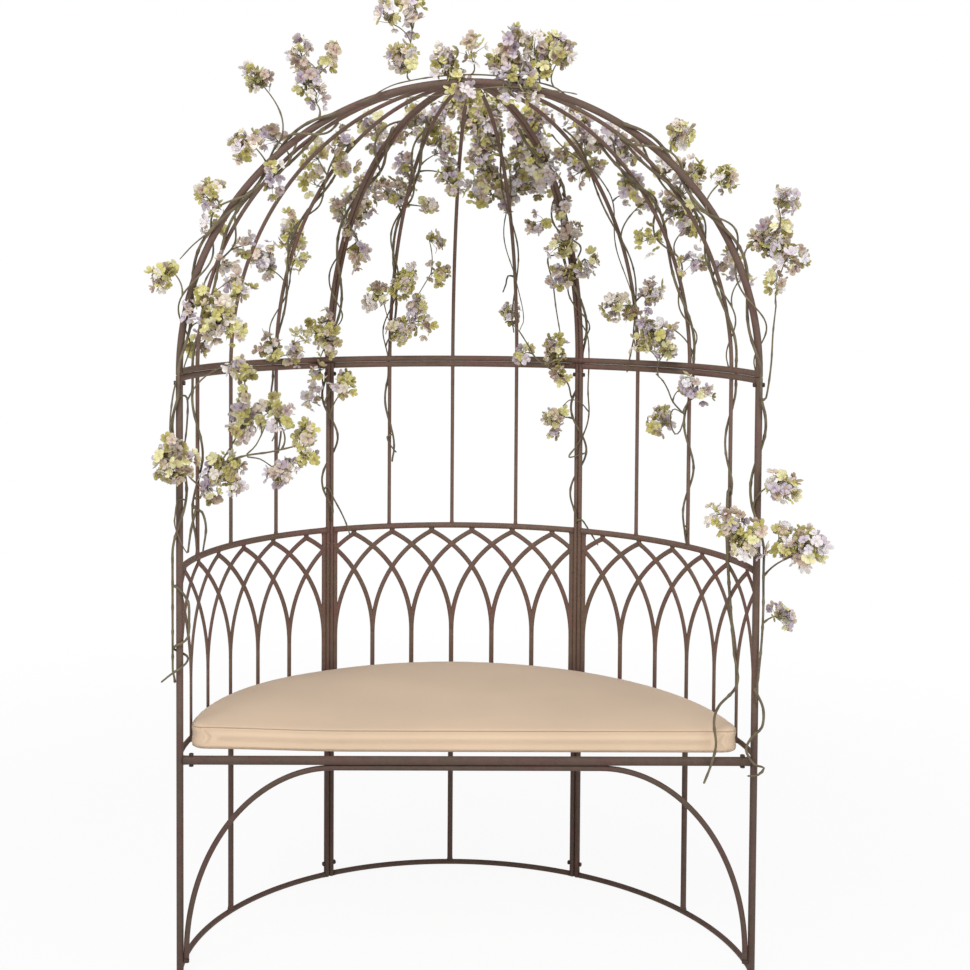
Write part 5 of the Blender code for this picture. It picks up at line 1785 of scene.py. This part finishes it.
# Painted highlight on the petals' rims
RIM_HIGHLIGHT = (0.92, 0.87, 0.80)
DRY_PATCH = (0.62, 0.52, 0.30)
DRY_PATCH_SCALE = 60.0
PETAL_CREASE_SCALE = 700.0
PETAL_CREASE_DEPTH = 0.0004
PLUM_HEART = (0.22, 0.07, 0.11)
FAINT = (0.25, 0.25, 0.25)
BARK_STOPS = [(0.32, (0.092, 0.066, 0.044)), (0.5, (0.160, 0.120, 0.078)), (0.70, (0.235, 0.205, 0.110))]
TWIG_STOPS = [(0.35, (0.140, 0.115, 0.060)), (0.65, (0.285, 0.262, 0.110))]
BARK_SCALE = 38.0
TWIG_SCALE = 70.0
BARK_CRACK_SCALE = 420.0
BARK_CRACK_DEPTH = 0.0008


def blossom_material():
    """Cloth petals: mauve, dusty rose or lime by the floret, from dark to pale, plum at some hearts."""
    finish = Finish("blossom_petals", 0.72)
    tint, tone, petal = finish.channel("tint"), finish.channel("tone"), finish.channel("petal")
    mauve, rose, lime = (finish.ramp(tone, PETAL_STOPS[name]) for name in ("mauve", "rose", "lime"))
    to_rose = finish.ramp(tint, [(0.24, BLACK), (0.32, WHITE)])
    to_lime = finish.ramp(tint, [(0.55, BLACK), (0.63, WHITE)])
    petals = finish.mix(to_lime, finish.mix(to_rose, mauve, rose), lime)
    # Petals paler towards their tips: a painted highlight on the rims
    to_rim_highlight = finish.math("MULTIPLY", finish.math("POWER", petal, 3.0), 0.22)
    petals = finish.mix(to_rim_highlight, petals, RIM_HIGHLIGHT)
    patches = finish.between(finish.noise(DRY_PATCH_SCALE, 3.0), -0.35, 0.75)
    to_dry = finish.math("MULTIPLY", patches, 0.5)
    petals = finish.mix(to_dry, petals, DRY_PATCH)
    heart = finish.ramp(petal, [(0.10, WHITE), (0.40, BLACK)])
    plum = finish.ramp(tone, [(0.20, WHITE), (0.75, FAINT)])
    to_plum = finish.math("MULTIPLY", finish.math("MULTIPLY", heart, plum), 0.80)
    finish.set("Base Color", finish.mix(to_plum, petals, PLUM_HEART))
    creases = finish.noise(PETAL_CREASE_SCALE, 2.0)
    finish.set("Normal", finish.bump(creases, PETAL_CREASE_DEPTH))
    finish.set("Sheen Weight", 0.25)
    finish.set("Subsurface Weight", 0.30)
    finish.set("Subsurface Radius", (0.009, 0.008, 0.006))
    return finish.material


def stem_material():
    """Bark-brown stems that turn olive, and green twigs and stalks."""
    finish = Finish("garland_stems", 0.68)
    bark = finish.ramp(finish.noise(BARK_SCALE, 4.0), BARK_STOPS)
    twig = finish.ramp(finish.noise(TWIG_SCALE, 3.0), TWIG_STOPS)
    finish.set("Base Color", finish.mix(finish.channel("green"), bark, twig))
    cracks = finish.noise(BARK_CRACK_SCALE, 4.0, rough=0.7)
    finish.set("Normal", finish.bump(cracks, BARK_CRACK_DEPTH))
    return finish.material


class ARBOUR_OT_garlands(bpy.types.Operator):
    """Makes the wound stems, twigs and blossom of each garland"""

    bl_idname = "arbour.garlands"
    bl_label = "Blossom garlands"
    bl_options = {"REGISTER", "UNDO"}

    def execute(self, context):
        rng = np.random.default_rng(GARLAND_SEED)
        metal = context.scene.arbour_metal
        kinds = [petal_grid(*kind) for kind in FLORET_KINDS]
        petals, bark = blossom_material(), stem_material()
        garlands = {}
        for name, (angle, stations, sprays) in GARLANDS.items():
            carrier = garland_carrier(angle, metal)
            garlands[name] = (carrier, strand(carrier, stations), sprays)
        placed = place_sprays(garlands, rng)
        for name, (carrier, main, _) in garlands.items():
            stems, tree = self.wound_stems(name, carrier, main)
            twigs, flowers = self.blossom(placed[name], tree, kinds, rng)
            piece = add_piece(f"{name}_stems", joined(stems + twigs), bark, "frame", name)
            piece = add_piece(f"{name}_blossom", joined(flowers), petals, "frame")
            piece.data.shade_flat()
        return {"FINISHED"}

    def wound_stems(self, name, carrier, main):
        """The two stems of a garland that wind round its carrier, and the loose ones."""
        stations = GARLANDS[name][1]
        size = BARK_D * min(1.0, (stations[-1][0] - stations[0][0]) / BARK_FULL_LENGTH)
        upper = [(max(stations[0][0], SECOND_STEM_FROM), stations[0][1]), stations[-1]]
        second = strand(carrier, upper, WANDER, SECOND_PHASE)
        stems = [
            stem(main[::-1], size, BARK_GREEN, LONG_TAPER),
            stem(second[::-1], SECOND_BARK_D * size / BARK_D, SECOND_GREEN),
        ]
        tree = Tree(main, size)
        tree.add(second, np.full(len(second), TWIG_D))
        for diameter, pixels in LOOSE_STEMS.get(name, ()):
            path = self.loose_path(pixels, carrier, tree)
            stems.append(stem(path, diameter, LOOSE_GREEN, LONG_TAPER, THIN_STEM_SIDES))
            tree.add(path, np.full(len(path), diameter))
        return stems, tree

    def blossom(self, sprays, tree, kinds, rng):
        """The twigs and stalks of a garland, and its florets, the sprays nearest to the stems first."""
        hearts = []
        for centre, reach in sprays:
            away = unit(centre - tree.nearest(centre))
            hearts.append(centre - SPRAY_HEART * reach * away)
        near_first = np.argsort([np.linalg.norm(tree.nearest(heart) - heart) for heart in hearts])
        twigs, flowers = [], []
        for k in near_first:
            path, size = tree.twig(rng, hearts[k])
            twigs.append(stem(path, size, TWIG_GREEN, TWIG_TIP_D / size, THIN_STEM_SIDES))
            florets_there, stalks = spray(rng, *sprays[k], hearts[k], kinds)
            flowers.append(florets_there)
            twigs += stalks
        return twigs, flowers

    def loose_path(self, pixels, carrier, tree):
        """A loose stem: a curve through points of the photograph, from the nearest place of the tree."""
        depth = FRONT_Y + HALF_WIDTH * carrier.outward[1]
        points = np.array([seen_at((u, v), depth - nearer) for u, v, nearer in pixels])
        root = tree.nearest(points[0])
        if np.linalg.norm(root - points[0]) > STALK_D:
            points = np.concatenate([[root], points])
        return smooth_path(points, STEM_STEP)


# Stage


def backdrop_material(floor_tone):
    """A pale matt floor that is nearly white to the camera, glass and gloss, and keeps the shadow."""
    finish = Finish("pale_floor", 0.9)
    finish.set("Base Color", (*floor_tone, 1.0))
    paths = finish.tree.nodes.new("ShaderNodeLightPath")
    seen = finish.math("MAXIMUM", paths.outputs["Is Camera Ray"], paths.outputs["Is Glossy Ray"])
    seen = finish.math("MAXIMUM", seen, paths.outputs["Is Transmission Ray"])
    away = finish.node("ShaderNodeVectorMath", {0: finish.place()}, "Value", operation="LENGTH")
    fade = {"Value": away, "From Min": FLOOR_FADE[0], "From Max": FLOOR_FADE[1], "To Min": FLOOR_WHITE}
    whiteness = finish.node("ShaderNodeMapRange", fade, interpolation_type="SMOOTHSTEP")
    glow = finish.node("ShaderNodeEmission", {"Color": (*WHITE, 1.0), "Strength": 1.0})
    share = finish.math("MULTIPLY", seen, whiteness)
    both = finish.node("ShaderNodeMixShader", {0: share, 1: finish.shader.outputs[0], 2: glow})
    finish.tree.links.new(both, finish.tree.nodes["Material Output"].inputs["Surface"])
    return finish.material


def add_light(name, place, size, power):
    """A soft square light that faces the middle of the arbour."""
    light = bpy.data.lights.new(name, "AREA")
    light.energy = power
    light.size = size
    obj = in_scene(name, light)
    obj.location = place
    obj.rotation_euler = (Vector(LIGHT_TARGET) - Vector(place)).to_track_quat("-Z", "Y").to_euler()


def even_sky(strength):
    """A world that lights evenly and is plain white where it is seen."""
    world = bpy.data.worlds.new("plain_sky")
    bpy.context.scene.world = world
    world.use_nodes = True
    tree = world.node_tree
    paths = tree.nodes.new("ShaderNodeLightPath")
    seen = tree.nodes.new("ShaderNodeMath")
    seen.operation = "MAXIMUM"
    tree.links.new(paths.outputs["Is Camera Ray"], seen.inputs[0])
    tree.links.new(paths.outputs["Is Transmission Ray"], seen.inputs[1])
    level = tree.nodes.new("ShaderNodeMapRange")
    level.inputs["To Min"].default_value = strength
    tree.links.new(seen.outputs[0], level.inputs["Value"])
    background = tree.nodes["Background"]
    background.inputs["Color"].default_value = (*WHITE, 1.0)
    tree.links.new(level.outputs[0], background.inputs["Strength"])


class ARBOUR_OT_stage(bpy.types.Operator):
    """Makes the pale floor, the soft lights and the camera"""

    bl_idname = "arbour.stage"
    bl_label = "Floor, light and camera"
    bl_options = {"REGISTER", "UNDO"}

    def execute(self, context):
        stage = context.scene.arbour_stage
        mesh = bpy.data.meshes.new("floor")
        r = FLOOR_RADIUS
        mesh.from_pydata([(-r, -r, 0), (r, -r, 0), (r, r, 0), (-r, r, 0)], [], [(0, 1, 2, 3)])
        mesh.materials.append(backdrop_material(stage.floor_colour))
        floor = in_scene("floor", mesh)
        even_sky(stage.sky_strength)
        add_light("key_light", KEY_PLACE, KEY_SIZE, stage.key_power)
        add_light("fill_light", FILL_PLACE, FILL_SIZE, stage.fill_power)
        self.add_camera(context)
        context.scene.view_settings.view_transform = "Standard"
        return {"FINISHED"}

    def add_camera(self, context):
        """The photograph's camera: its place, its turn and the shift of its frame."""
        camera = in_scene("camera", bpy.data.cameras.new("camera"))
        camera.data.sensor_width = CAMERA_SENSOR
        camera.data.lens = CAMERA_FOCUS_PX / PHOTO_SIZE * CAMERA_SENSOR
        camera.data.shift_x = 0.5 - CAMERA_AXIS_PX[0] / PHOTO_SIZE
        camera.data.shift_y = CAMERA_AXIS_PX[1] / PHOTO_SIZE - 0.5
        place, forward, right, up = camera_axes()
        turned = np.eye(4)
        turned[:3] = np.stack([right, up, -forward, place], 1)
        camera.matrix_world = Matrix(turned.tolist())
        camera.data.clip_end = 100.0
        context.scene.camera = camera


# Panel and start


class ARBOUR_PT_panel(bpy.types.Panel):
    """Lists the pieces, sizes and colours of the arbour."""

    bl_label = "Garden Arbour"
    bl_idname = "ARBOUR_PT_panel"
    bl_space_type = "VIEW_3D"
    bl_region_type = "UI"
    bl_category = "Arbour"

    def draw(self, context):
        scene = context.scene
        for operator in OPERATORS:
            self.layout.operator(operator.bl_idname)
        for group in (scene.arbour_metal, scene.arbour_cushion, scene.arbour_stage):
            box = self.layout.box()
            for name in group.__annotations__:
                box.prop(group, name)


OPERATORS = (
    ARBOUR_OT_stage,
    ARBOUR_OT_base,
    ARBOUR_OT_back,
    ARBOUR_OT_dome,
    ARBOUR_OT_front,
    ARBOUR_OT_deck,
    ARBOUR_OT_bolts,
    ARBOUR_OT_cushion,
    ARBOUR_OT_garlands,
)
GROUPS = (ArbourMetal, ArbourCushion, ArbourStage)


def register():
    """Registers the classes and the scene's settings."""
    for item in (*GROUPS, *OPERATORS, ARBOUR_PT_panel):
        bpy.utils.register_class(item)
    bpy.types.Scene.arbour_metal = PointerProperty(type=ArbourMetal)
    bpy.types.Scene.arbour_cushion = PointerProperty(type=ArbourCushion)
    bpy.types.Scene.arbour_stage = PointerProperty(type=ArbourStage)


def unregister():
    """Removes the scene's settings and the classes."""
    del bpy.types.Scene.arbour_stage
    del bpy.types.Scene.arbour_cushion
    del bpy.types.Scene.arbour_metal
    for item in reversed((*GROUPS, *OPERATORS, ARBOUR_PT_panel)):
        bpy.utils.unregister_class(item)


def main():
    """Makes every piece in order."""
    for obj in [o for o in bpy.data.objects if o.name in ("Cube", "Light", "Camera")]:
        bpy.data.objects.remove(obj)
    register()
    for operator in OPERATORS:
        group, name = operator.bl_idname.split(".")
        getattr(getattr(bpy.ops, group), name)()
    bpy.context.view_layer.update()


if __name__ == "__main__":
    main()
